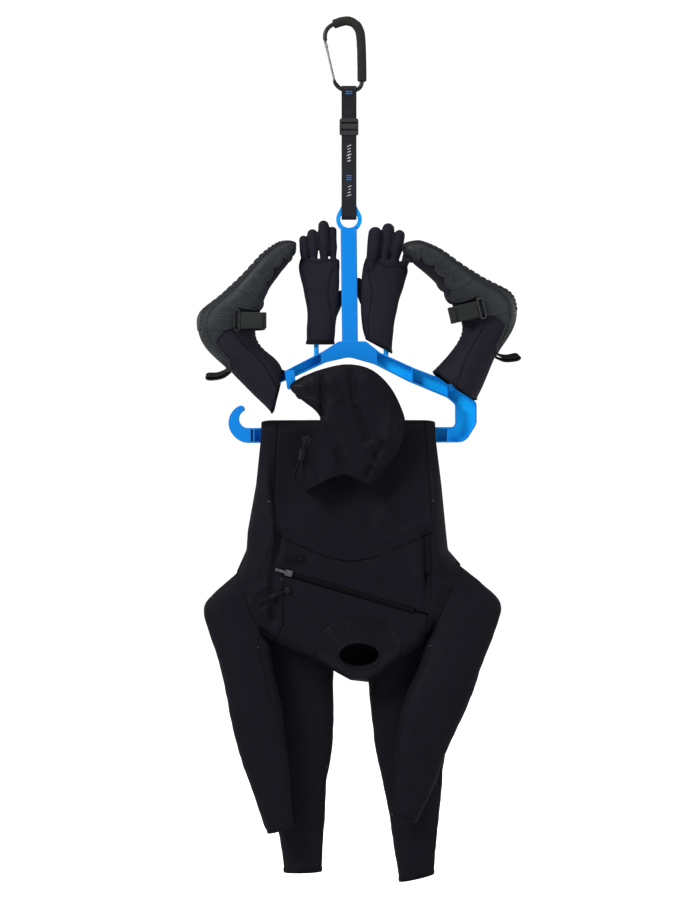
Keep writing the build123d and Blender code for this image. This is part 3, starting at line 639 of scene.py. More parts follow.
# ---------------------------------------------------------------- suit: body
HALF_DEPTHS = smoothed([(818, 4.5), (870, 8), (917, 12), (1009, 20), (1046, 23), (1092, 25), (1200, 25),
                        (1330, 22)])
SIDE_LEFT = [(-175, -780), (-175, -819.5), (-185, -917), (-201.6, -1009), (-204, -1046), (-221.6, -1090.5)]
SIDE_RIGHT = [(172, -780), (172, -819.5), (184, -917), (193, -1009), (197, -1046), (219.6, -1075)]
SHOULDERS = [(-175.6, -1206.5), (-140.6, -1232), (-60, -1268), (-26, -1290), (3, -1306), (38, -1310),
             (66, -1292), (103, -1262.6), (141, -1237), (171.8, -1191.5)]
WAIST_SEAM = [(-149, -1013), (-112, -1032), (-80, -1045), (-40, -1061), (1.4, -1069.4), (46, -1062),
              (90, -1045), (130, -1028), (166, -1011)]
SEAM_LEFT = [(-143, -733), (-143, -819), (-147, -900), (-149, -1013)]
SEAM_RIGHT = [(152, -733), (152, -819), (158, -900), (166, -1011)]
COLLAR_EDGE = smoothed([(-62, -1267), (-62, -1240), (-54, -1212), (-35, -1194), (-8, -1183), (20, -1179),
                        (48, -1182), (72, -1191), (90, -1207), (101, -1226), (103, -1262.6)], steps=4)
NECK = np.array([(20 + 42 * math.cos(t), -1254 + 26 * math.sin(t))
                 for t in np.linspace(0, 2 * PI, 72, endpoint=False)])
ZIP_START, ZIP_END = np.array((-128.0, -1089.0)), np.array((122.0, -1164.0))
ZIP_LENGTH = float(np.linalg.norm(ZIP_END - ZIP_START))
ZIP_RUN = (ZIP_END - ZIP_START) / ZIP_LENGTH
ZIP_UP = np.array((-ZIP_RUN[1], ZIP_RUN[0]))
ROLL_LEFT = [(-157, -850), (-160, -908), (-149, -1018), (-160, -1100), (-161, -1185)]
ROLL_RIGHT = [(165, -850), (168, -908), (164, -1018), (167, -1100), (158, -1180)]
# The cloth lies flat under the neck cord and its toggle.
NECK_CORD_RUN = np.array([(-118, -1124), (-176, -1146)])
FOLD_R = 27.0                 # the middle of the fold over the bar, for arc lengths
FOLD_END = BAR_Z + PI * FOLD_R

# Ridges and valleys in the front: from, to, width and height.
BODY_CREASES = [
    ((-196, -1150), (-136, -1124), 7, 3.0), ((-178, -1100), (-150, -1186), 8, -3.0),
    ((196, -1120), (134, -1096), 7, 3.0), ((178, -1086), (150, -1176), 8, -3.0),
    ((-150, -990), (-60, -1025), 8, 2.4), ((162, -990), (70, -1028), 8, 2.4),
    ((-120, -870), (-30, -1000), 13, 2.6), ((124, -880), (50, -1006), 13, 2.4),
    ((-40, -870), (44, -990), 12, -2.6), ((-60, -1000), (60, -1020), 10, 1.8),
    ((-112, -1128), (-36, -1176), 8, 3.0), ((96, -1184), (140, -1212), 6, 3.0),
    ((-104, -1204), (-62, -1246), 7, 3.0), ((-118, -1150), (-70, -1206), 7, -2.2),
    ((96, -1220), (126, -1240), 5, -2.0), ((-90, -1064), (60, -1098), 9, 1.6),
    ((-70, -1092), (90, -1132), 6, 1.4), ((130, -1040), (150, -1130), 8, 2.2),
    ((-130, -1050), (-126, -1080), 8, 2.0), ((-14, -1228), (-36, -1204), 4, 1.6),
    ((6, -1222), (0, -1192), 4, 1.8), ((34, -1224), (38, -1190), 4, -1.6),
    ((58, -1234), (80, -1210), 4, 1.8), ((68, -1252), (94, -1240), 4, 1.5),
    ((-30, -1256), (-54, -1248), 4, 1.5),
]
broad_folds, fine_folds = ripples(11, 190, (1.0, 1, 0.7)), ripples(12, 62, (1.2, 1, 0.6))


def along_zip(s, up=0.0):
    return tuple(ZIP_START + ZIP_RUN * s + ZIP_UP * up)


def crease(x, z, a, b, width, height):
    """A soft ridge, or a valley, along the line from a to b."""
    d = distance(np.stack([x, z], 1), [smoothed([a, b], steps=2)])
    return height * np.exp(-((d / width) ** 2))


def roll(x, z, line, side, height, width):
    """A roll of cloth outside a line: steep towards the middle of the suit, easing off outwards."""
    spots = smoothed(line, steps=6)
    d = distance(np.stack([x, z], 1), [spots])
    order = np.argsort(spots[:, 1])
    out = (x - np.interp(z, spots[order, 1], spots[order, 0])) * side > 0
    ends = np.clip((spots[:, 1].max() - z) / 60, 0, 1) * np.clip((z - spots[:, 1].min()) / 40, 0, 1)
    return height * np.exp(-((d / np.where(out, width, 4.0)) ** 2)) * ends


def folds(x, z, front):
    """How far the cloth stands off its smooth form."""
    q = np.stack([x, np.full(len(x), -60.0 if front else 40.0), z], 1)
    rise = 3.0 * broad_folds(q) + 1.1 * fine_folds(q)
    if front:
        for start, end, width, height in BODY_CREASES:
            rise += crease(x, z, start, end, width, height)
        for line, side in ((ROLL_LEFT, -1), (ROLL_RIGHT, 1)):
            rise += roll(x, z, line, side, 12.0, 24)
            inner = [(a - side * 11, b) for a, b in line[2:]]
            rise += crease(x, z, inner[0], inner[1], 7, -6) + crease(x, z, inner[1], inner[2], 7, -6)
        zip_d = distance(np.stack([x, z], 1), [np.array([ZIP_START, ZIP_END])])
        rise *= np.clip((zip_d - 12) / 45, 0, 1)
        cord_d = distance(np.stack([x, z], 1), [NECK_CORD_RUN])
        rise = np.minimum(rise, 0.3 + 14 * np.clip((cord_d - 13) / 16, 0, 1))
    rise *= np.clip((-z - 845) / 125, 0.06, 1)
    return rise


def body_place(front):
    """Lays front-view points on the suit's front or back, and over the bar."""
    def place(points, lift):
        x, s = points[:, 0], points[:, 1]
        low = np.minimum(s, BAR_Z)
        c = crown(np.stack([x, low], 1), [SIDE_LEFT, SIDE_RIGHT, SHOULDERS], 26)
        half = np.interp(-low, HALF_DEPTHS[:, 0], HALF_DEPTHS[:, 1])
        off = np.maximum(half * c + folds(x, low, front) * c + lift, 0.25)
        r = -TORSO_Y + (off if front else -off)
        a = np.clip((s - BAR_Z) / FOLD_R, 0, PI)
        y = -r * np.cos(a)
        z = low + r * np.sin(a) - np.maximum(s - FOLD_END, 0)
        return np.stack([x, y, z], 1)
    return place


front_place, back_place = body_place(True), body_place(False)


def body_panel(name, outline, lift, thick, material, slot_name, nodes, holes=(), step=6.0,
place=front_place):
    data = panel_data(outline, place, thick=thick, step=step, holes=holes, lift=lift)
    return torso_blend(make(name, *data, material), slot_name, *nodes)


def body_line(points, lift=-0.1, steps=8):
    row = resample(smoothed(points, steps=steps), 2.5)
    return front_place(row, np.full(len(row), lift))


def build_panels():
    """The body's sheets: belly, chest with both sides, neck flap, collar and back."""
    top = FOLD_END + 3
    belly = [(-142.4, top), *SEAM_LEFT[1:3], *WAIST_SEAM, *SEAM_RIGHT[2:0:-1], (151.4, top)]
    body_panel("suit_belly", belly, 0.0, 4.0, SUIT, "suit_neoprene", ["suit_belly_panel", "suit_hip_outer"])
    waist = [(x, z - 0.8) for x, z in WAIST_SEAM]
    chest = [(-175, top), (-175, -819.5), (-185, -917), (-201.6, -1009), (-204, -1046), (-223.5, -1090.5),
             (-178.5, -1208.5), (-150, -1227.7), (-130, -1194), (-129.8, -1094.6), along_zip(-11, -5),
             along_zip(-11, 5), along_zip(ZIP_LENGTH + 10, 5), (133, -1166), (157, -1173.5), (153, -1219.3),
             (174.3, -1193), (221.8, -1075), (197, -1046), (193, -1009), (184, -917), (172, -819.5),
             (172, top), (152.8, top), (152.8, -819), (158.8, -900), *waist[::-1], (-147.8, -900),
             (-143.8, -819), (-143.8, top)]
    body_panel("suit_chest", chest, 0.0, 4.0, SUIT, "suit_neoprene",
               ["suit_chest_panel", "suit_side_panel_left", "suit_side_panel_right"], step=4.0)
    rim = [(x - 0.6 * (x - 20) / 80, z + 0.5) for x, z in COLLAR_EDGE]
    flap = [(-129.4, -1097.0), along_zip(ZIP_LENGTH + 10, -6.8), (132, -1168.8), (156, -1175.6),
            (152.2, -1220.5), (141, -1237), (104, -1262.2), *rim[::-1], (-63, -1267), (-140.6, -1232),
            (-149.3, -1228.3), (-129.2, -1194)]
    body_panel("suit_flap", flap, 0.5, 4.0, SUIT, "suit_neoprene", ["suit_neck_flap"])
    collar = [*COLLAR_EDGE, (66, -1292), (38, -1310), (3, -1306), (-26, -1290)]
    body_panel("suit_collar_skin", collar, 0.5, 3.0, SUIT_SMOOTH, "smooth_skin", ["suit_collar"],
               holes=[NECK], step=4)
    back = [(-175, top), *SIDE_LEFT[1:], *SHOULDERS, *SIDE_RIGHT[:0:-1], (172, top)]
    body_panel("suit_back", back, 0.0, 3.6, LINING, "suit_neoprene", ["suit_back_panel", "suit_hip_inner"],
               place=back_place, step=7)


def build_body_seams():
    side_left = [(-149, -1013), (-160, -1046), (-172, -1080), (-186, -1112)]
    side_right = [(166, -1011), (172, -1046), (180, -1074), (188, -1098)]
    stitched = [WAIST_SEAM, SEAM_LEFT, SEAM_RIGHT, COLLAR_EDGE]
    rows = [tube_data(body_line(seam), 0.95, sides=8, squash=0.6)
            for seam in (*stitched, side_left, side_right)]
    torso_blend(join("suit_seam_lines", rows, SEAM), "suit_neoprene")
    rows = []
    for seam in stitched:
        upright = seam is SEAM_LEFT or seam is SEAM_RIGHT
        for side in (-3.2, 3.2):
            shifted = [(x + side * upright, z + side * (not upright)) for x, z in seam]
            rows += stitch_data(body_line(shifted, lift=0.15), spacing=4.2, length=3.0, radius=0.22)
    torso_blend(join("suit_stitching", rows, THREAD), "suit_neoprene")


def build_neck_seal():
    """The rolled edge of the neck hole, and the tube of neoprene that goes in behind it."""
    ring = front_place(np.vstack([NECK, NECK[:2]]), np.full(len(NECK) + 2, -0.2))
    lip = tube_data(ring, 2.3, sides=12)
    inner_ring = ring + np.array([0, 7.0, 0])
    shrunk = (inner_ring - inner_ring.mean(0)) * (0.9, 1, 0.82) + inner_ring.mean(0)
    n = len(ring)
    strip = [[i, i + 1, i + 1 + n, i + n] for i in range(n - 1)]
    wall = np.vstack([ring + (0, 1.0, 0), shrunk])
    back_wall = np.vstack([ring + (0, 3.0, 0), shrunk + (0, 1.6, 0)])
    parts = [lip, (wall, strip), (back_wall, strip)]
    torso_blend(join("suit_neck_seal", parts, SUIT_SMOOTH), "smooth_skin")


def build_body_tacks():
    tacks = []
    for x, z in ((-133, -1104), (-158, -950), (166, -948)):
        x0, z0 = x - 2.6, z + 1.2
        path = front_place(np.array([(x0 + k * 1.3, z0 - k * 0.6) for k in range(5)]), np.full(5, 1.2))
        tacks.append(tube_data(path, 0.75, sides=8))
    torso_blend(join("suit_tacks", tacks, TACK), "suit_neoprene")


def build_zip():
    """The chest zip: two tapes, its teeth, and a facing under the gap."""
    def flat(points, lift):
        return np.stack([points[:, 0], -50.0 - np.broadcast_to(lift, len(points)), points[:, 1]], 1)

    def strip(start, past, low, high):
        end = ZIP_LENGTH + past
        return [along_zip(start, low), along_zip(end, low), along_zip(end, high), along_zip(start, high)]

    tapes = []
    for low, high in ((-5.4, -1.4), (1.4, 5.4)):
        tapes.append(panel_data(strip(-10, 8, low, high), flat, thick=2.4, step=2.6, edge=0.4, lift=0.1))
    tapes.append(panel_data(strip(-12, 12, -8, 8), flat, thick=1.0, step=5, lift=-2.6))
    finish_piece(join("zip_woven_tape", tapes, ZIP_TAPE), "torso", "webbing", "zip_tape")
    teeth = []
    for k in range(int(ZIP_LENGTH / 1.6)):
        side = 1 if k % 2 else -1
        s = 1 + k * 1.6
        a, b = along_zip(s, side * 2.3), along_zip(s, -side * 0.7)
        path = [(a[0], -50.9, a[1]), ((a[0] + b[0]) / 2, -51.2, (a[1] + b[1]) / 2), (b[0], -50.9, b[1])]
        teeth.append(tube_data(path, (0.75, 0.72, 0.85), sides=6))
    finish_piece(join("zip_moulded_teeth", teeth, TEETH), "torso", "black_plastic", "zip_teeth")


# ---------------------------------------------------------------- suit: sleeves and legs
# Stations from top to bottom, as Limb takes them.
LEFT_SLEEVE = [
    (-223, -1092, -177, -1206, -26, 48, 3.2), (-257, -1122, -168, -1222, -28, 51, 2.7),
    (-287, -1160, -158, -1234, -30, 54, 2.4), (-277, -1212, -155, -1254, -32, 56, 2.2),
    (-258, -1268, -151, -1273, -34, 58, 2.2), (-243, -1340, -137, -1343, -36, 56, 2.2),
    (-226, -1425, -124, -1425, -36, 52, 2.2), (-200, -1504, -117, -1500, -34, 46, 2.2),
    (-181, -1560, -114, -1550, -33, 42, 2.2), (-161, -1610, -111, -1597, -32, 38, 2.2),
]
RIGHT_SLEEVE = [
    (221, -1078, 174, -1190, -26, 48, 3.2), (264, -1112, 165, -1212, -28, 51, 2.7),
    (302, -1154, 154, -1230, -30, 54, 2.4), (289, -1211, 147, -1251, -32, 56, 2.2),
    (268, -1268, 140, -1272, -34, 58, 2.2), (232, -1361, 108, -1352, -36, 56, 2.2),
    (196, -1443, 95, -1427, -36, 52, 2.2), (168, -1518, 90, -1494, -34, 46, 2.2),
    (134, -1588, 86, -1574, -32, 38, 2.2),
]
LEFT_LEG = [
    (-174, -819.5, -3, -819.5, 25.5, 9, 2.6), (-181, -900, -6, -900, 27, 24, 2.4),
    (-187, -1009, -11, -1009, 33, 44, 2.2),
    (-190, -1150, -21, -1150, 38, 58, 2.2), (-188, -1287, -31, -1287, 40, 62, 2.2),
    (-180, -1420, -32.5, -1420, 40, 62, 2.2),
    (-166, -1520, -45, -1520, 38, 58, 2.2), (-142, -1612, -51, -1612, 35, 52, 2.2),
    (-131, -1698, -54.6, -1696, 34, 46, 2.2),
]
RIGHT_LEG = [
    (3, -819.5, 172, -819.5, 25.5, 9, 2.6), (6, -900, 179, -900, 27, 24, 2.4),
    (10, -1009, 188, -1009, 33, 44, 2.2),
    (20, -1150, 197, -1150, 38, 58, 2.2), (38, -1300, 200, -1300, 40, 62, 2.2),
    (51, -1436, 197, -1436, 40, 62, 2.2),
    (66, -1508, 188, -1504, 38, 58, 2.2), (88, -1622, 179.6, -1618, 35, 52, 2.2),
    (100.8, -1717, 171.4, -1701, 34, 46, 2.2),
]


def cloth_ripple(seed, broad, fine, start=0.06, end=0.97):
    big, small = ripples(seed, 150, (1, 1, 1.3)), ripples(seed + 1, 48, (0.8, 1, 1.5))

    def rise(p, u, turn):
        fade = np.clip(u / start, 0, 1) * np.clip((1 - u) / (1 - end), 0.15, 1)
        return (broad * big(p) + fine * small(p)) * fade
    return rise


def build_limb(name, stations, seed, body, blend_with, node, hem_node, seams, blend_at, closed=False):
    limb = Limb(stations, cloth_ripple(seed, 1.5, 0.5))
    tube = sleeve_data(limb, nu=110, nv=88, thick=3.8, close_start=closed)
    data = dict(blend=(blend_with, body, *blend_at))
    finish_piece(make(f"{name}_shell", *tube, SUIT), body, "suit_neoprene", node, **data)
    hem = sleeve_data(limb, 0.982, 1.0, nu=6, nv=88, lift=0.9, thick=1.3)
    finish_piece(make(f"{name}_bound_edge", *hem, SEAM), body, "webbing", hem_node)
    rows = [tube_data(path_on(limb, s, lift=0.1), 0.95, sides=8, squash=0.7) for s in seams]
    finish_piece(join(f"{name}_seams", rows, SEAM), body, "suit_neoprene", **data)
    stitches = []
    for s in seams:
        for side in (-0.055, 0.055):
            shifted = [(u, t + side) for u, t in s]
            stitches += stitch_data(path_on(limb, shifted, lift=0.15), spacing=4.4, length=3.0, radius=0.22)
    ring = path_on(limb, [(0.965, t) for t in np.linspace(0, 2 * PI, 25)], lift=0.15)
    stitches += stitch_data(ring, spacing=4.4, length=3.0, radius=0.22)
    finish_piece(join(f"{name}_stitching", stitches, THREAD), body, "suit_neoprene", **data)
    tacks = [tube_data(path_on(limb, [(u, t - 0.03), (u + 0.004, t + 0.03)], lift=0.9), 0.8, sides=8)
             for u, t in (seams[0][0], seams[0][2])]
    finish_piece(join(f"{name}_tacks", tacks, TACK), body, "suit_neoprene", **data)


def build_limbs():
    front = 1.5 * PI
    left_axis, right_axis = (-198.6, -26, -1148.5), (195.7, -26, -1133.2)
    back_seam = [(0.02, 2.4), (0.3, 2.6), (0.6, 2.7), (0.975, 2.8)]
    left = [(0.0, front + 1.03), (0.15, front + 0.75), (0.3, front + 0.62), (0.46, front + 0.63),
            (0.556, front + 0.68), (0.62, front + 1.05), (0.70, front + 1.3), (0.975, front + 1.35)]
    right = [(0.0, front + 1.3), (0.15, front + 1.1), (0.31, front + 0.98), (0.55, front + 0.97),
             (0.66, front + 1.25), (0.975, front + 1.4)]
    build_limb("sleeve_left", LEFT_SLEEVE, 21, "sleeve_left", "torso", "suit_sleeve_left", "sleeve_hem_left",
               [left, back_seam], (left_axis, (-240, -26, -1215)))
    build_limb("sleeve_right", RIGHT_SLEEVE, 25, "sleeve_right", "torso", "suit_sleeve_right",
               "sleeve_hem_right", [right, back_seam], (right_axis, (236, -26, -1200)))
    seams = [[(0.0, front + 1.1), (0.4, front + 1.2), (0.7, front + 1.15), (0.975, front + 1.1)],
             [(0.0, 2.5), (0.4, 2.6), (0.7, 2.6), (0.975, 2.6)]]
    for side, stations, x, seed in (("left", LEFT_LEG, -88, 31), ("right", RIGHT_LEG, 88, 35)):
        build_limb(f"leg_{side}", stations, seed, f"leg_{side}", "hips", f"suit_leg_{side}",
                   f"leg_hem_{side}", seams, ((x, 25.5, -819), (x, 25.5, -880)), closed=True)


# ---------------------------------------------------------------- hood
HOOD_TOP = [(-100, -742), (-112, -733), (-116, -720), (-98, -707), (-58, -690), (-5, -679), (43, -689),
            (81, -723), (106, -772), (110, -801), (100, -843), (74, -882), (47, -914)]
HOOD_NECK = [(35, -915), (5, -899), (-13, -895), (-39, -903), (-62, -915), (-81, -924), (-92, -924)]
HOOD_FACE = [(-108, -902), (-99, -876), (-84, -849), (-71, -824), (-59, -800), (-55, -784), (-66, -768),
             (-84, -754)]
HOOD_Y, HOOD_HALF = -75.0, 16.5
HOOD_CREASES = [
    ((-36, -716), (-18, -748), 8, 6.0), ((-54, -704), (-53, -778), 5, -6.0),
    ((4, -696), (10, -748), 7, -6.0), ((13, -764), (36, -826), 7, -6.0),
    ((34, -712), (80, -762), 10, 5.0), ((82, -776), (74, -836), 10, 5.0),
    ((66, -836), (34, -900), 6, -5.0), ((38, -842), (52, -884), 6, 5.0),
    ((-54, -800), (-30, -872), 9, 4.5), ((-34, -762), (-2, -850), 10, 3.5),
    ((-92, -722), (-66, -756), 9, 3.0), ((-24, -850), (-6, -888), 6, -3.5),
    ((-70, -846), (-60, -900), 6, -3.0), ((-4, -862), (26, -890), 7, 3.0),
]
hood_folds = ripples(41, 95)


def hood_place(side):
    """Lays front-view points on the hood's front (side -1) or back (side 1)."""
    def place(points, lift):
        x, z = points[:, 0], points[:, 1]
        c = crown(points, [smoothed(HOOD_TOP, steps=3)], 38)
        q = np.stack([x, np.full(len(x), side * 30.0), z], 1)
        rise = 0.9 * hood_folds(q)
        for start, end, width, height in HOOD_CREASES:
            rise += crease(x, z, start, end, width, height)
        rise *= 1.4 if side < 0 else 0.35
        off = np.maximum((HOOD_HALF + rise) * c + lift, 0.25)
        return np.stack([x, HOOD_Y + side * off, z], 1)
    return place


def build_hood():
    """The hood lies flat: a front and a back half, with bound edges, seams and a smooth visor."""
    top = smoothed(HOOD_TOP, steps=6)
    neck = smoothed([HOOD_TOP[-1], *HOOD_NECK], steps=5)
    face = smoothed([HOOD_NECK[-1], *HOOD_FACE, HOOD_TOP[0]], steps=5)
    outline = np.vstack([top[:-1], neck[:-1], face[:-1]])
    front, back = hood_place(-1), hood_place(1)
    halves = [panel_data(outline, place, thick=3.0, step=3.0, edge=0.7) for place in (front, back)]
    finish_piece(join("hood_neoprene", halves, SUIT), "hood", "suit_neoprene", "hood_shell")

    def line(points, lift, side=-1):
        row = resample(smoothed(points, steps=8), 2.0)
        return (front if side < 0 else back)(row, np.full(len(row), lift))

    face_rim = [HOOD_NECK[-1], *HOOD_FACE, HOOD_TOP[0]]
    neck_rim = [(47, -913.5), *HOOD_NECK]
    neck_seam = [(x, z + 9) for x, z in [(43, -914), *HOOD_NECK[:-1]]]
    hems = [tube_data(line(face_rim, -0.9, side), 2.1, sides=12) for side in (-1, 1)]
    finish_piece(join("hood_face_edge", hems, SEAM), "hood", "suit_neoprene")
    hems = []
    for side in (-1, 1):
        hems.append(tube_data(line(neck_rim, -0.9, side), 2.0, sides=12))
        hems.append(tube_data(line(neck_seam, -0.1, side), 0.8, sides=8, squash=0.6))
    finish_piece(join("hood_neck_edge", hems, SEAM), "hood", "webbing", "hood_neck_hem")
    crown_seam = [(-14, -681), (24, -706), (66, -728), (92, -768), (98, -812), (84, -856), (58, -890)]
    cheek_seam = [(-84, -744), (-58, -752), (-44, -772), (-44, -792)]
    seams = [tube_data(line(crown_seam, 0.0, side), 0.95, sides=8, squash=0.6) for side in (-1, 1)]
    finish_piece(join("hood_crown_welt", seams, SEAM), "hood", "suit_neoprene", "hood_crown_seam")
    seams = [tube_data(line(cheek_seam, 0.0), 0.8, sides=8, squash=0.6)]
    rows = []
    for path in (crown_seam, cheek_seam):
        for shift in (-3.0, 3.0):
            shifted = [(x + shift, z) for x, z in path]
            rows += stitch_data(line(shifted, 0.15), spacing=4.0, length=2.8, radius=0.22)
    face_in = [(x + 7, z + 1) for x, z in HOOD_FACE]
    rows += stitch_data(line(face_in, 0.15), spacing=4.0, length=2.8, radius=0.22)
    finish_piece(join("hood_stitching", seams + rows, THREAD), "hood", "suit_neoprene")
    visor = [(-112, -718), (-98, -707), (-80, -700), (-64, -714), (-78, -741), (-98, -748), (-108, -735)]
    shape = smoothed(visor, closed=True, steps=4)
    layers = [panel_data(shape, place, thick=1.8, step=3.5, edge=0.9, lift=0.9) for place in (front, back)]
    finish_piece(join("hood_visor_panel", layers, SUIT_SMOOTH), "hood", "glove_neoprene", "hood_visor")
    build_hood_cord(front)


def build_hood_cord(front):
    """The drawcord, its end loop, and the tab that holds it."""
    cord = smoothed([(-80, -92.6, -822), (-88, -96.6, -838), (-91.5, -97, -861), (-95.5, -97, -888)],
                    steps=10)
    parts = [tube_data(cord, 1.3, sides=10)]
    loop = [(-95.5, -97, -886), (-99, -97, -892), (-98, -97, -899), (-93, -97, -899), (-92, -97, -892),
            (-95.5, -97, -886)]
    parts.append(tube_data(smoothed(loop, steps=6), 1.1, sides=8))
    tab = [(-92, -824), (-78, -820), (-74, -832), (-88, -838)]
    parts.append(panel_data(smoothed(tab, closed=True, steps=3), front, thick=1.6, step=3, lift=1.5))
    finish_piece(join("hood_braided_cord", parts, CORD), "hood", "cord", "hood_cord")


# ---------------------------------------------------------------- gloves
PEG_Y = 4.0        # the depth of the pegs that the gloves sit on
LEFT_PALM = [
    (-86, -637, -29.5, -637, PEG_Y, 34, 2.3), (-84.5, -600, -27, -600, PEG_Y, 34, 2.3),
    (-84, -565, -23, -565, PEG_Y, 31, 2.3),
    (-93, -520, -20, -520, PEG_Y, 29, 2.3), (-101, -486, -18.8, -486, PEG_Y, 25, 2.3),
    (-98, -466, -19, -466, PEG_Y, 19, 2.6),
]
LEFT_FINGERS = [((-87.5, -486), (-91.5, -427), 9.3, -2, 0.25), ((-70, -484), (-74, -415), 10.8, 3, 0.25),
                ((-49, -484), (-51, -399), 11.4, -3, 0.25), ((-30.5, -486), (-33.5, -408), 8.6, 3, 0.25)]
LEFT_THUMB = ((-38, 14, -600), (-26, 21, -560), (-12, 22, -528), 9.6)
RIGHT_PALM = [
    (34, -627, 86, -656, PEG_Y, 34, 2.3), (26, -600, 89, -606, PEG_Y, 33, 2.3),
    (23, -550, 100.6, -550, PEG_Y, 31, 2.3),
    (24.5, -512, 112, -512, PEG_Y, 28, 2.3), (27, -486, 118, -488, PEG_Y, 25, 2.3),
    (33, -464, 112, -472, PEG_Y, 19, 2.6),
]
RIGHT_FINGERS = [((43, -490), (54, -414), 14.0, -4, 0.12), ((67, -488), (80, -405), 12.6, 3, 0.14),
                 ((88, -484), (103, -418), 11.0, -3, 0.24), ((106, -488), (123, -446), 9.4, 3, 0.2)]
RIGHT_THUMB = ((40, 14, -585), (28, 20, -545), (15, 21, -502), 9.4)


def finger_data(path, radius, taper=0.25):
    """A round-ended finger along a path."""
    p = resample(smoothed(path, steps=8), 1.6)
    length = np.concatenate([[0], np.cumsum(np.linalg.norm(np.diff(p, axis=0), axis=1))])
    end = np.clip((length[-1] - length) / radius, 0, 1)
    near = np.clip(1 - length / length[-1], 0, 1)
    slim = 1.0 - taper * np.clip((near - 0.48) / 0.25, 0, 1)
    r = radius * slim * np.sqrt(np.clip(1 - (1 - end) ** 2, 0.02, 1))
    return tube_data(p, r, sides=24)


def voxel_skin(name, parts, voxel_mm, smooth_steps, material):
    """One closed skin round several overlapping forms."""
    raw = join(name, parts, material)
    remesh = raw.modifiers.new("skin", "REMESH")
    remesh.mode = "VOXEL"
    remesh.voxel_size = voxel_mm / 1000
    relax = raw.modifiers.new("relax", "SMOOTH")
    relax.factor, relax.iterations = 0.5, smooth_steps
    bpy.context.view_layer.update()
    mesh = bpy.data.meshes.new_from_object(raw.evaluated_get(bpy.context.evaluated_depsgraph_get()))
    raw.modifiers.clear()
    raw.data = mesh
    return raw


def open_and_thicken(obj, point, normal, wall_mm):
    """Cuts a closed skin open at a plane, and gives it a wall inwards."""
    bm = bmesh.new()
    bm.from_mesh(obj.data)
    bmesh.ops.bisect_plane(bm, geom=bm.verts[:] + bm.edges[:] + bm.faces[:], plane_co=Vector(point) / 1000,
                           plane_no=Vector(normal), clear_outer=True)
    bm.to_mesh(obj.data)
    bm.free()
    wall = obj.modifiers.new("wall", "SOLIDIFY")
    wall.thickness, wall.offset = wall_mm / 1000, -1
    bpy.context.view_layer.update()
    mesh = bpy.data.meshes.new_from_object(obj.evaluated_get(bpy.context.evaluated_depsgraph_get()))
    obj.modifiers.clear()
    obj.data = mesh
    for face in mesh.polygons:
        face.use_smooth = True
    return obj


def ripple_mesh(obj, field, amount_mm):
    """Moves each vertex along its normal by a smooth field."""
    mesh = obj.data
    count = len(mesh.vertices)
    p, n = np.zeros(count * 3), np.zeros(count * 3)
    mesh.vertices.foreach_get("co", p)
    mesh.vertices.foreach_get("normal", n)
    p, n = p.reshape(-1, 3), n.reshape(-1, 3)
    p += n * (field(p * 1000) * amount_mm / 1000)[:, None]
    mesh.vertices.foreach_set("co", p.ravel())
    mesh.update()


class Skin:
    """Finds points on a finished mesh by looking at it from the front or the back."""

    def __init__(self, obj):
        mesh = obj.data
        verts = [v.co.copy() for v in mesh.vertices]
        self.tree = BVHTree.FromPolygons(verts, [tuple(f.vertices) for f in mesh.polygons])

    def path(self, points, front=True, lift=0.0):
        out = []
        for x, z in resample(smoothed(points, steps=8), 1.6):
            way = 1 if front else -1
            hit, _, _, _ = self.tree.ray_cast(Vector((x / 1000, -0.3 * way, z / 1000)),
                                                   Vector((0, way, 0)))
            if hit is not None:
                out.append(np.array(hit) * 1000 - np.array((0, lift * way, 0)))
        return np.array(out)


def build_glove(side, palm, fingers, thumb, seams, cuff_point, cuff_normal):
    """A glove: palm, fingers and thumb in one skin, opened at the cuff."""
    limb = Limb(palm)
    rows, sides = 40, 48
    ring = np.linspace(0, 2 * PI, sides, endpoint=False)
    points = limb.at(np.repeat(np.linspace(0, 1, rows), sides), np.tile(ring, rows), 0.0)
    walls = swept_faces(rows, sides)[:-2]
    caps = [list(range(sides)), [(rows - 1) * sides + k for k in range(sides)]]
    parts = [(points, walls + caps)]
    for (x0, z0), (x1, z1), r, side_step, taper in fingers:
        middle = ((x0 + x1) / 2, PEG_Y + side_step - 1.5, (z0 + z1) / 2)
        parts.append(finger_data([(x0, PEG_Y, z0), middle, (x1, PEG_Y + side_step, z1 + r * 0.9)], r, taper))
    parts.append(finger_data(thumb[:-1], thumb[-1]))
    obj = voxel_skin(f"glove_{side}_neoprene", parts, 1.7, 5, GLOVE)
    ripple_mesh(obj, ripples(51 if side == "left" else 52, 42), 0.55)
    open_and_thicken(obj, cuff_point, cuff_normal, 2.5)
    finish_piece(obj, f"glove_{side}", "glove_neoprene", f"glove_{side}")
    skin = Skin(obj)
    welts, stitches = [], []
    for path in seams:
        found = skin.path(path, lift=0.1)
        if len(found) > 4:
            welts.append(tube_data(found, 0.85, sides=8, squash=0.8))
        for shift in (-2.4, 2.4):
            found = skin.path([(x, z + shift) for x, z in path], lift=0.15)
            if len(found) > 8:
                stitches += stitch_data(found, spacing=3.6, length=2.5, radius=0.2)
    finish_piece(join(f"glove_{side}_seams", welts, SEAM), f"glove_{side}", "glove_neoprene")
    finish_piece(join(f"glove_{side}_stitching", stitches, THREAD), f"glove_{side}", "glove_neoprene")
    band = sleeve_data(limb, 0.006, 0.05, nu=8, nv=72, lift=0.7, thick=1.2)
    finish_piece(make(f"glove_{side}_cuff_edge", *band, SEAM), f"glove_{side}", "glove_neoprene")


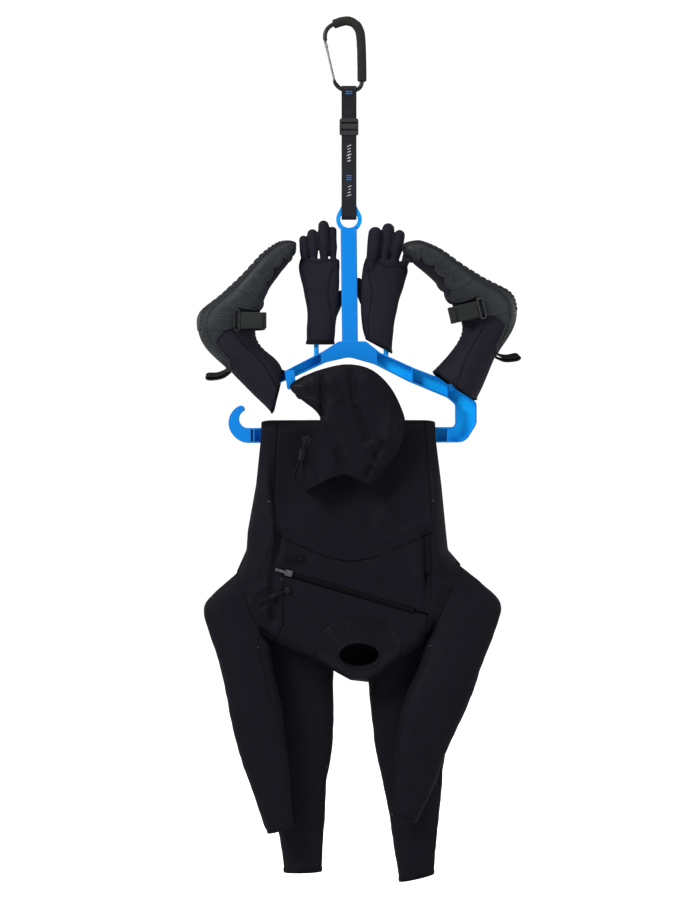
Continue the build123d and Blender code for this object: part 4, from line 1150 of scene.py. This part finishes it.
def build_gloves():
    seams = [
        [(-99, -482), (-94, -469), (-80, -470), (-62, -475), (-44, -470), (-30, -469), (-22, -478)],
        [(-78, -622), (-79, -580), (-84, -530), (-92, -492)],
        [(-38, -628), (-36, -585), (-42, -540), (-38, -500), (-29, -478)],
        [(-82, -629), (-58, -630), (-33, -629)],
    ]
    build_glove("left", LEFT_PALM, LEFT_FINGERS, LEFT_THUMB, seams, (-58, 4, -636.6), (0, 0, -1))
    seams = [
        [(30, -480), (42, -469), (60, -474), (80, -484), (96, -480), (112, -486)],
        [(80, -640), (88, -590), (98, -540), (110, -492)],
        [(40, -620), (38, -585), (46, -540), (40, -500), (38, -478)],
    ]
    across = np.array((52.0, 0, -29.0))
    normal = np.cross(across, (0, 1, 0))
    normal = normal / np.linalg.norm(normal)
    normal = normal if normal[2] < 0 else -normal
    build_glove("right", RIGHT_PALM, RIGHT_FINGERS, RIGHT_THUMB, seams, (60, 4, -640.9), tuple(normal))


# ---------------------------------------------------------------- boots
# Stations of the left boot from its toe over the heel to its cuff.
BOOT = [
    (-105.5, -438, -105.5, -446, 0, 20, 2.0), (-109.5, -432, -107.5, -452, 0, 46, 2.2),
    (-124, -430, -112, -464, 0, 62, 2.3),
    (-146, -435, -122, -480, 0, 76, 2.4), (-176, -458, -141, -502, 0, 86, 2.5),
    (-218, -503, -162, -535, 0, 90, 2.5),
    (-258, -540, -175, -569, 0, 86, 2.4), (-296, -571, -183, -596, 0, 78, 2.2),
    (-303, -604, -184, -620, 0, 78, 2.2),
    (-288, -642, -170, -642, 0, 84, 2.1), (-241, -689, -147, -664, 0, 92, 2.1),
    (-204, -727, -137, -676, 0, 97, 2.1),
    (-170, -761, -131.6, -686.6, 0, 99, 2.1), (-155, -776, -131.6, -687.6, 0, 100, 2.1),
]
RIGHT_BOOT = BOOT[:10] + [        # its cuff is cut along the rack's arm
    (-241, -689, -147, -664, 0, 92, 2.1), (-215, -722, -132, -674, 0, 97, 2.1),
    (-191, -754, -113, -685, 0, 99, 2.1),
    (-181, -767, -108, -689, 0, 100, 2.1),
]


# Tongues of rubber up the boot's sides: place along the boot, half width, reach round it, and height.
BOOT_LOBES = [(0.19, 0.05, 2.45, 1.2), (0.27, 0.045, 2.15, 2.4), (0.335, 0.04, 2.25, 1.6),
              (0.385, 0.04, 2.5, 2.8), (0.44, 0.045, 2.75, 1.8), (0.545, 0.075, 1.95, 1.6)]
INSTEP = [(-222, -43.6), (-206, -44.2), (-190, -41.5), (-178, -34), (-171, -20)]        # (x, y), front half
HEEL_PULL = [(-236, 0, -690), (-250, 0, -700), (-266, 0, -704), (-281, 0, -704.5), (-286, 0, -700),
             (-280, 0, -697.5), (-264, 0, -697), (-250, 0, -692), (-240, 0, -684)]
# The rims of the first five tongues, where painted highlight lines run: place along the boot, half width,
# reach round it.
HIGHLIGHT_RIMS = [(0.19, 0.05, 2.45), (0.27, 0.045, 2.15), (0.335, 0.04, 2.2), (0.385, 0.04, 2.45),
             (0.44, 0.045, 2.75)]


def right_boot(points):
    """The right boot is the left one mirrored, turned in the front view, and set forward and toed out."""
    p = np.asarray(points, float)
    mouth = np.clip((p[:, 0] - p[:, 2] - 440) / 110, 0, 1)         # grows towards the cuff
    drop = 0.26 * np.clip(-20 - p[:, 1], 0, 40) * mouth            # the front lip hangs lower
    p = (p + np.stack([0.5 * drop, 0 * drop, -drop], 1)) * (-1, 1, 1) + (-143, 0, 731)
    a, b = math.radians(13.5), math.radians(10)
    x, z = p[:, 0] * math.cos(a) - p[:, 2] * math.sin(a), p[:, 0] * math.sin(a) + p[:, 2] * math.cos(a) - 723
    x, y = x * math.cos(b) - p[:, 1] * math.sin(b), x * math.sin(b) + p[:, 1] * math.cos(b)
    return np.stack([x + 210, y - 26, z], 1)


def boot_ripple(p, u, turn):
    """Ankle creases, a cleft between the big toe and the others, and soft lumps."""
    lumps = ripples(61, 70)(p) * 0.8 + ripples(62, 26)(p) * 0.2
    ankle = np.exp(-(((u - 0.66) / 0.045) ** 2)) * np.clip(np.cos(turn), 0, 1)
    creases = -2.2 * ankle * (0.5 + 0.5 * np.sin(u * 260))
    toe = np.exp(-(((turn - 0.32) / 0.10) ** 2)) * np.clip((0.26 - u) / 0.14, 0, 1) * np.clip(u / 0.03, 0, 1)
    return lumps * np.clip(u / 0.1, 0, 1) + creases - 5.0 * toe


def boot_reach(u):
    """How far round from the middle of the sole the rubber wraps."""
    return float(np.interp(u, [0, 0.05, 0.14, 0.24, 0.34, 0.42, 0.5, 0.58, 0.63, 0.68, 0.745, 0.78],
                           [2.95, 2.75, 2.35, 1.75, 1.65, 1.62, 1.66, 1.72, 1.45, 1.05, 0.95, 0.4]))


def lobe_reach(u, middle, half, far):
    """The same for a tongue of rubber with a round end."""
    return 1.2 + (far - 1.2) * math.sqrt(max(0.0, 1 - ((u - middle) / half) ** 2))


def boot_rubber(limb):
    """The wrap round the foot, and the tongues of rubber on it."""
    skin = [patch_data(limb, 0.0, 0.78, lambda u: PI - boot_reach(u), lambda u: PI + boot_reach(u),
                       nu=110, nv=72, lift=0.0, thick=2.6)]
    for middle, half, far, lift in BOOT_LOBES:
        for s in (-1, 1):
            def near(u, s=s):
                return PI + s * 1.05

            def end(u, s=s, m=middle, h=half, f=far):
                return PI + s * lobe_reach(u, m, h, f)

            low, high = (end, near) if s < 0 else (near, end)
            skin.append(patch_data(limb, middle - half, middle + half, low, high, nu=26, nv=24, lift=lift,
                                   thick=3.4, sink=1.9))
    return skin


def boot_lugs(limb):
    """Two rows of lugs under the sole, half a step apart."""
    lugs = []
    for k in range(30):
        u = 0.04 + k * 0.0195
        w = 0.62 if u < 0.5 else 0.5
        for low, high, step in ((PI - w, PI - 0.08, 0.0), (PI + 0.08, PI + w, 0.0098)):
            lugs.append(patch_data(limb, u + step, u + step + 0.0125, low, high, nu=6, nv=14, lift=1.5,
                                   thick=2.4, sink=1.1))
    return lugs


def boot_trims(limb):
    """The edge of the wrap, and the foxing line above the sole."""
    trims = []
    for s in (-1, 1):
        edge = [(u, PI + s * (boot_reach(u) - 0.03)) for u in np.linspace(0.03, 0.77, 26)]
        foxing = [(u, PI + s * 0.86) for u in np.linspace(0.03, 0.74, 22)]
        for path, radius, squash in ((edge, 1.0, 0.7), (foxing, 1.2, 0.8)):
            trims.append(tube_data(path_on(limb, path, lift=0.3, steps=6), radius, sides=10, squash=squash))
    return trims


def boot_highlight_lines(limb):
    """Painted highlights: paler lines that stand for lit edges, round the tongues, over the ankle, and at
    the heel.
    """
    highlights = []

    def line(path, lift, radius, steps=4, sides=8):
        highlights.append(tube_data(path_on(limb, path, lift=lift, steps=steps), radius, sides=sides, squash=0.7))

    for s in (-1, 1):
        for middle, half, far in HIGHLIGHT_RIMS:
            inner = [(middle + 0.62 * half * math.cos(t), PI + s * (1.15 + 0.72 * (far - 1.2) * math.sin(t)))
                     for t in np.linspace(0.1, PI - 0.1, 9)]
            rim = [(middle + 0.97 * half * math.cos(t), PI + s * (1.2 + (far - 1.23) * math.sin(t)))
                   for t in np.linspace(0.05, PI - 0.05, 13)]
            line(inner, 2.7, 0.75)
            line(rim, 1.9, 0.7)
        for k in range(4):
            u = 0.60 + 0.018 * k
            groove = [(u - 0.012 * t, PI + s * t) for t in np.linspace(0.3, 0.95, 6)]
            line(groove, 0.3, 0.9, steps=5, sides=10)
        for k in range(3):
            rays = [(0.535 + 0.016 * k - 0.02 * t, PI + s * (1.1 + 0.55 * t)) for t in np.linspace(0, 1, 5)]
            line(rays, 1.3, 0.8, steps=5)
    return highlights


def boot_seam(s):
    return [(0.60, s * 1.4), (0.70, s * 1.15), (0.80, s * 1.2), (0.9, s * 1.35), (0.985, s * 1.5)]


def boot_welts(limb):
    """The cuff's two seams and its bound mouth."""
    welts = [tube_data(path_on(limb, boot_seam(s), lift=-1.9, steps=8), 1.0, sides=8, squash=0.7)
             for s in (-1, 1)]
    mouth = path_on(limb, [(0.992, t) for t in np.linspace(0, 2 * PI, 25)], lift=-2.4, steps=6)
    return [*welts, tube_data(mouth, 2.0, sides=10)]


def boot_stitching(limb):
    stitches = []
    for s in (-1, 1):
        for shift in (-0.06, 0.06):
            row = path_on(limb, [(u, t + shift) for u, t in boot_seam(s)], lift=-1.8, steps=8)
            stitches += stitch_data(row, spacing=4, length=2.8, radius=0.22)
    return stitches


def boot_tab():
    """The free end of the ankle strap, its hook patch, and two bartacks."""
    path = [(-214.5, -46.9), (-205, -47.3), (-190, -47.2), (-176, -46.4), (-163.5, -45.6)]
    hook_path = [(-205, -46.0), (-190, -46.0), (-177, -45.3)]
    ends = [tube_data([(x, -48.2, z) for z in (-577, -583, -591, -599, -605)], 0.5, sides=6)
            for x in (-168, -171)]
    return [upright_band(path, -575, -607, 2.0), upright_band(hook_path, -578, -604, 0.9), *ends]


def build_boot(side):
    limb = Limb(BOOT if side == "left" else RIGHT_BOOT, boot_ripple)
    body, turn = f"boot_{side}", (right_boot if side == "right" else np.asarray)

    def put(name, parts, material, slot_name, *nodes, on=body):
        points, faces = merged(parts)
        finish_piece(make(f"{body}_{name}", turn(points), faces, material), on, slot_name, *nodes)

    neoprene = sleeve_data(limb, nu=130, nv=96, thick=4.5, lift=-2.0, close_start=True)
    put("neoprene", [neoprene], GLOVE, "glove_neoprene", f"{body}_upper")
    put("rubber_wrap", boot_rubber(limb), RUBBER, "boot_rubber", f"{body}_rubber")
    put("sole_lugs", boot_lugs(limb), RUBBER, "boot_rubber")
    put("rubber_trim", boot_trims(limb), RUBBER, "boot_rubber")
    # painted highlights: paler lines on the boot's rubber for its lit edges
    put("rubber_painted_highlights", boot_highlight_lines(limb), RUBBER_HIGHLIGHT, "boot_rubber")
    put("welts", boot_welts(limb), SEAM, "glove_neoprene")
    put("stitching", boot_stitching(limb), THREAD, "glove_neoprene")
    instep = upright_band([*INSTEP, (-168.4, 0), *[(x, -y) for x, y in INSTEP[::-1]]], -574.5, -607.5, 2.2)
    put("instep_strap", [instep], STRAP_RUBBER, "boot_strap", f"{body}_strap")
    put("tab_webbing", boot_tab(), STRAP_RUBBER, "boot_strap", f"{body}_strap_tab", on=f"{body}_tab")
    put("heel_pull", [ribbon_between(HEEL_PULL, 11.5, 2.2)], WEBBING, "webbing", f"{body}_heel_loop")


def upright_band(path, top, bottom, thick):
    """A strap that stands upright along an (x, y) path."""
    p = resample(smoothed(path, steps=6), 1.8)
    t = np.gradient(p, axis=0)
    t /= np.linalg.norm(t, axis=1)[:, None]
    n = np.stack([-t[:, 1], t[:, 0]], 1)
    across = np.concatenate([[0, 0.02], np.linspace(0.06, 0.94, 11), [0.98, 1]])
    fat = np.concatenate([[0.3, 0.8], np.ones(11), [0.8, 0.3]])
    ring = band_section(across, fat)
    points = []
    for q, k in zip(p, n):
        for a, f in ring:
            x, y = q + k * (f * thick / 2)
            points.append((x, y, top + (bottom - top) * a))
    return np.array(points), swept_faces(len(p), len(ring))


def ribbon_between(path, half_width, thick):
    """Webbing along an (x, z) path, with its width along Y."""
    flat = [(q[0], q[2]) for q in path]
    points, faces = ribbon_data(flat, half_width, thick, seed=9)
    points = points[:, [1, 0, 2]]
    points[:, 2] += 0.36 * points[:, 1]
    return points, faces


# ---------------------------------------------------------------- neck cord
def build_neck_cord():
    start, end = np.array((-124.0, -57, -1126)), np.array((-176.0, -57, -1146))
    run = (end - start) / np.linalg.norm(end - start)
    straight = [start + run * d for d in (0, 14, 28, 42, 54)]
    knot = [end + (2.2 * math.cos(t), 1.2 * math.sin(2 * t), 2.6 * math.sin(t))
            for t in np.linspace(0, 2 * PI, 14)]
    parts = [tube_data(smoothed(straight, steps=6), 1.3, sides=10)]
    parts.append(tube_data(smoothed(knot, steps=4), 1.5, sides=8))
    tail = smoothed([end, end + (-5, 0, -5), end + (-6, 1, -12)], steps=6)
    parts.append(tube_data(tail, 1.2, sides=8))

    def flat(points, lift):
        return np.stack([points[:, 0], -57.6 - np.broadcast_to(lift, len(points)), points[:, 1]], 1)

    anchor = smoothed([(-126, -1120), (-117, -1120), (-117, -1131), (-126, -1131)], closed=True, steps=4)
    parts.append(panel_data(anchor, flat, thick=7.0, step=2.5, edge=1.2, lift=0.6))
    finish_piece(join("neck_braided_cord", parts, CORD), "torso", "cord", "neck_cord")


# ---------------------------------------------------------------- CAD pieces that stay, and their materials
def paint_light_inside(material, front_mm, back_mm, painted_light_colour):
    """Painted light: the rack's base colour turns lighter towards the back of its channels, standing for
    fill light against the shade in the recesses.
    """
    tree = material.node_tree
    shader = next(n for n in tree.nodes if n.type == "BSDF_PRINCIPLED")
    colour = shader.inputs["Base Color"].links[0].from_socket
    spot = tree.nodes.new("ShaderNodeTexCoord")
    axes = tree.nodes.new("ShaderNodeSeparateXYZ")
    tree.links.new(spot.outputs["Object"], axes.inputs[0])
    depth = tree.nodes.new("ShaderNodeMapRange")
    depth.inputs["From Min"].default_value = front_mm / 1000
    depth.inputs["From Max"].default_value = back_mm / 1000
    tree.links.new(axes.outputs["Y"], depth.inputs["Value"])
    blend = tree.nodes.new("ShaderNodeMix")
    blend.data_type = "RGBA"
    blend.inputs[MIX_SECOND].default_value = (*painted_light_colour, 1)
    tree.links.new(depth.outputs["Result"], blend.inputs[0])
    tree.links.new(colour, blend.inputs[MIX_FIRST])
    tree.links.new(blend.outputs[MIX_RESULT], shader.inputs["Base Color"])


def carried_over():
    """Materials for the CAD pieces that show as they are."""
    finishes = {
        "carabiner_body": ANODISED, "carabiner_gate": GATE_STEEL, "gate_rivet": STEEL,
        "strap_buckle": BLACK_PLASTIC, "drying_rack": RACK_BLUE,
        "boot_left_ring": DARK_STEEL, "boot_right_ring": DARK_STEEL,
        "zip_slider": SLIDER, "zip_pull": SLIDER, "zip_end_stop": TEETH,
        "zip_garage_snap": TEETH, "zip_garage_tab": ZIP_TAPE, "neck_toggle": TEETH, "hood_cord_lock": TEETH,
    }
    # painted light: the rack's channels are lightened towards their back, against the shade in them
    paint_light_inside(RACK_BLUE, -11, 8, (0.0, 0.44, 0.92))
    for node, material in finishes.items():
        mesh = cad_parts[node].data
        mesh.materials.clear()
        mesh.materials.append(material)


# ---------------------------------------------------------------- studio
def build_studio():
    """A white floor, five soft lights, and a camera straight in front."""
    floor_mat, tree, shader, _ = node_material("studio_floor")
    shader.inputs["Base Color"].default_value = (0.9, 0.9, 0.9, 1)
    shader.inputs["Emission Color"].default_value = (1, 1, 1, 1)
    seen = tree.nodes.new("ShaderNodeLightPath")           # the floor looks white, and lights nothing itself
    tree.links.new(seen.outputs["Is Camera Ray"], shader.inputs["Emission Strength"])
    shader.inputs["Roughness"].default_value = 0.9
    reach, height, sides = 9000, -1775, 48
    turns = np.linspace(0, 2 * PI, sides, endpoint=False)
    ring = [(reach * math.cos(t), reach * math.sin(t), height) for t in turns]
    floor = make("studio_floor", ring, [list(range(sides))], floor_mat)
    for name, place, size, power, aim in (
        ("key", (-2.6, -2.6, 1.3), 1.5, 150, (0, 0, -0.9)),
        ("fill", (2.8, -2.4, 0.2), 2.0, 52, (0, 0, -0.9)),
        ("rim_left", (-2.4, 1.0, -0.2), 1.4, 24, (0, 0, -1.0)),
        ("rim_right", (2.4, 1.0, -0.2), 1.4, 24, (0, 0, -1.0)),
        ("top", (0, -0.8, 1.9), 1.8, 34, (0, 0, -0.6)),
    ):
        data = bpy.data.lights.new(name, "AREA")
        data.shape, data.size, data.energy = "DISK", size, power
        light = bpy.data.objects.new(name, data)
        light.location = place
        light.rotation_euler = (Vector(aim) - Vector(place)).to_track_quat("-Z", "Y").to_euler()
        scene.collection.objects.link(light)
    world = bpy.data.worlds.new("studio")                  # white to look at, and dim as a light
    world.use_nodes = True
    nodes, links = world.node_tree.nodes, world.node_tree.links
    rays, level = nodes.new("ShaderNodeLightPath"), nodes.new("ShaderNodeMapRange")
    level.inputs["To Min"].default_value, level.inputs["To Max"].default_value = 0.16, 1.05
    links.new(rays.outputs["Is Camera Ray"], level.inputs["Value"])
    nodes["Background"].inputs["Color"].default_value = (1, 1, 1, 1)
    links.new(level.outputs["Result"], nodes["Background"].inputs["Strength"])
    scene.world = world
    scene.view_settings.view_transform = "Standard"
    camera = bpy.data.objects.new("camera", bpy.data.cameras.new("camera"))
    camera.data.lens, camera.data.sensor_width = 100, 36
    camera.location = (0.002, -5.0, -0.848)
    camera.rotation_euler = (PI / 2, 0, 0)
    scene.collection.objects.link(camera)
    scene.camera = camera


build_grip()
build_strap()
build_panels()
build_body_seams()
build_neck_seal()
build_body_tacks()
build_zip()
build_limbs()
build_hood()
build_gloves()
for boot_side in ("left", "right"):
    build_boot(boot_side)
build_neck_cord()
carried_over()
build_studio()
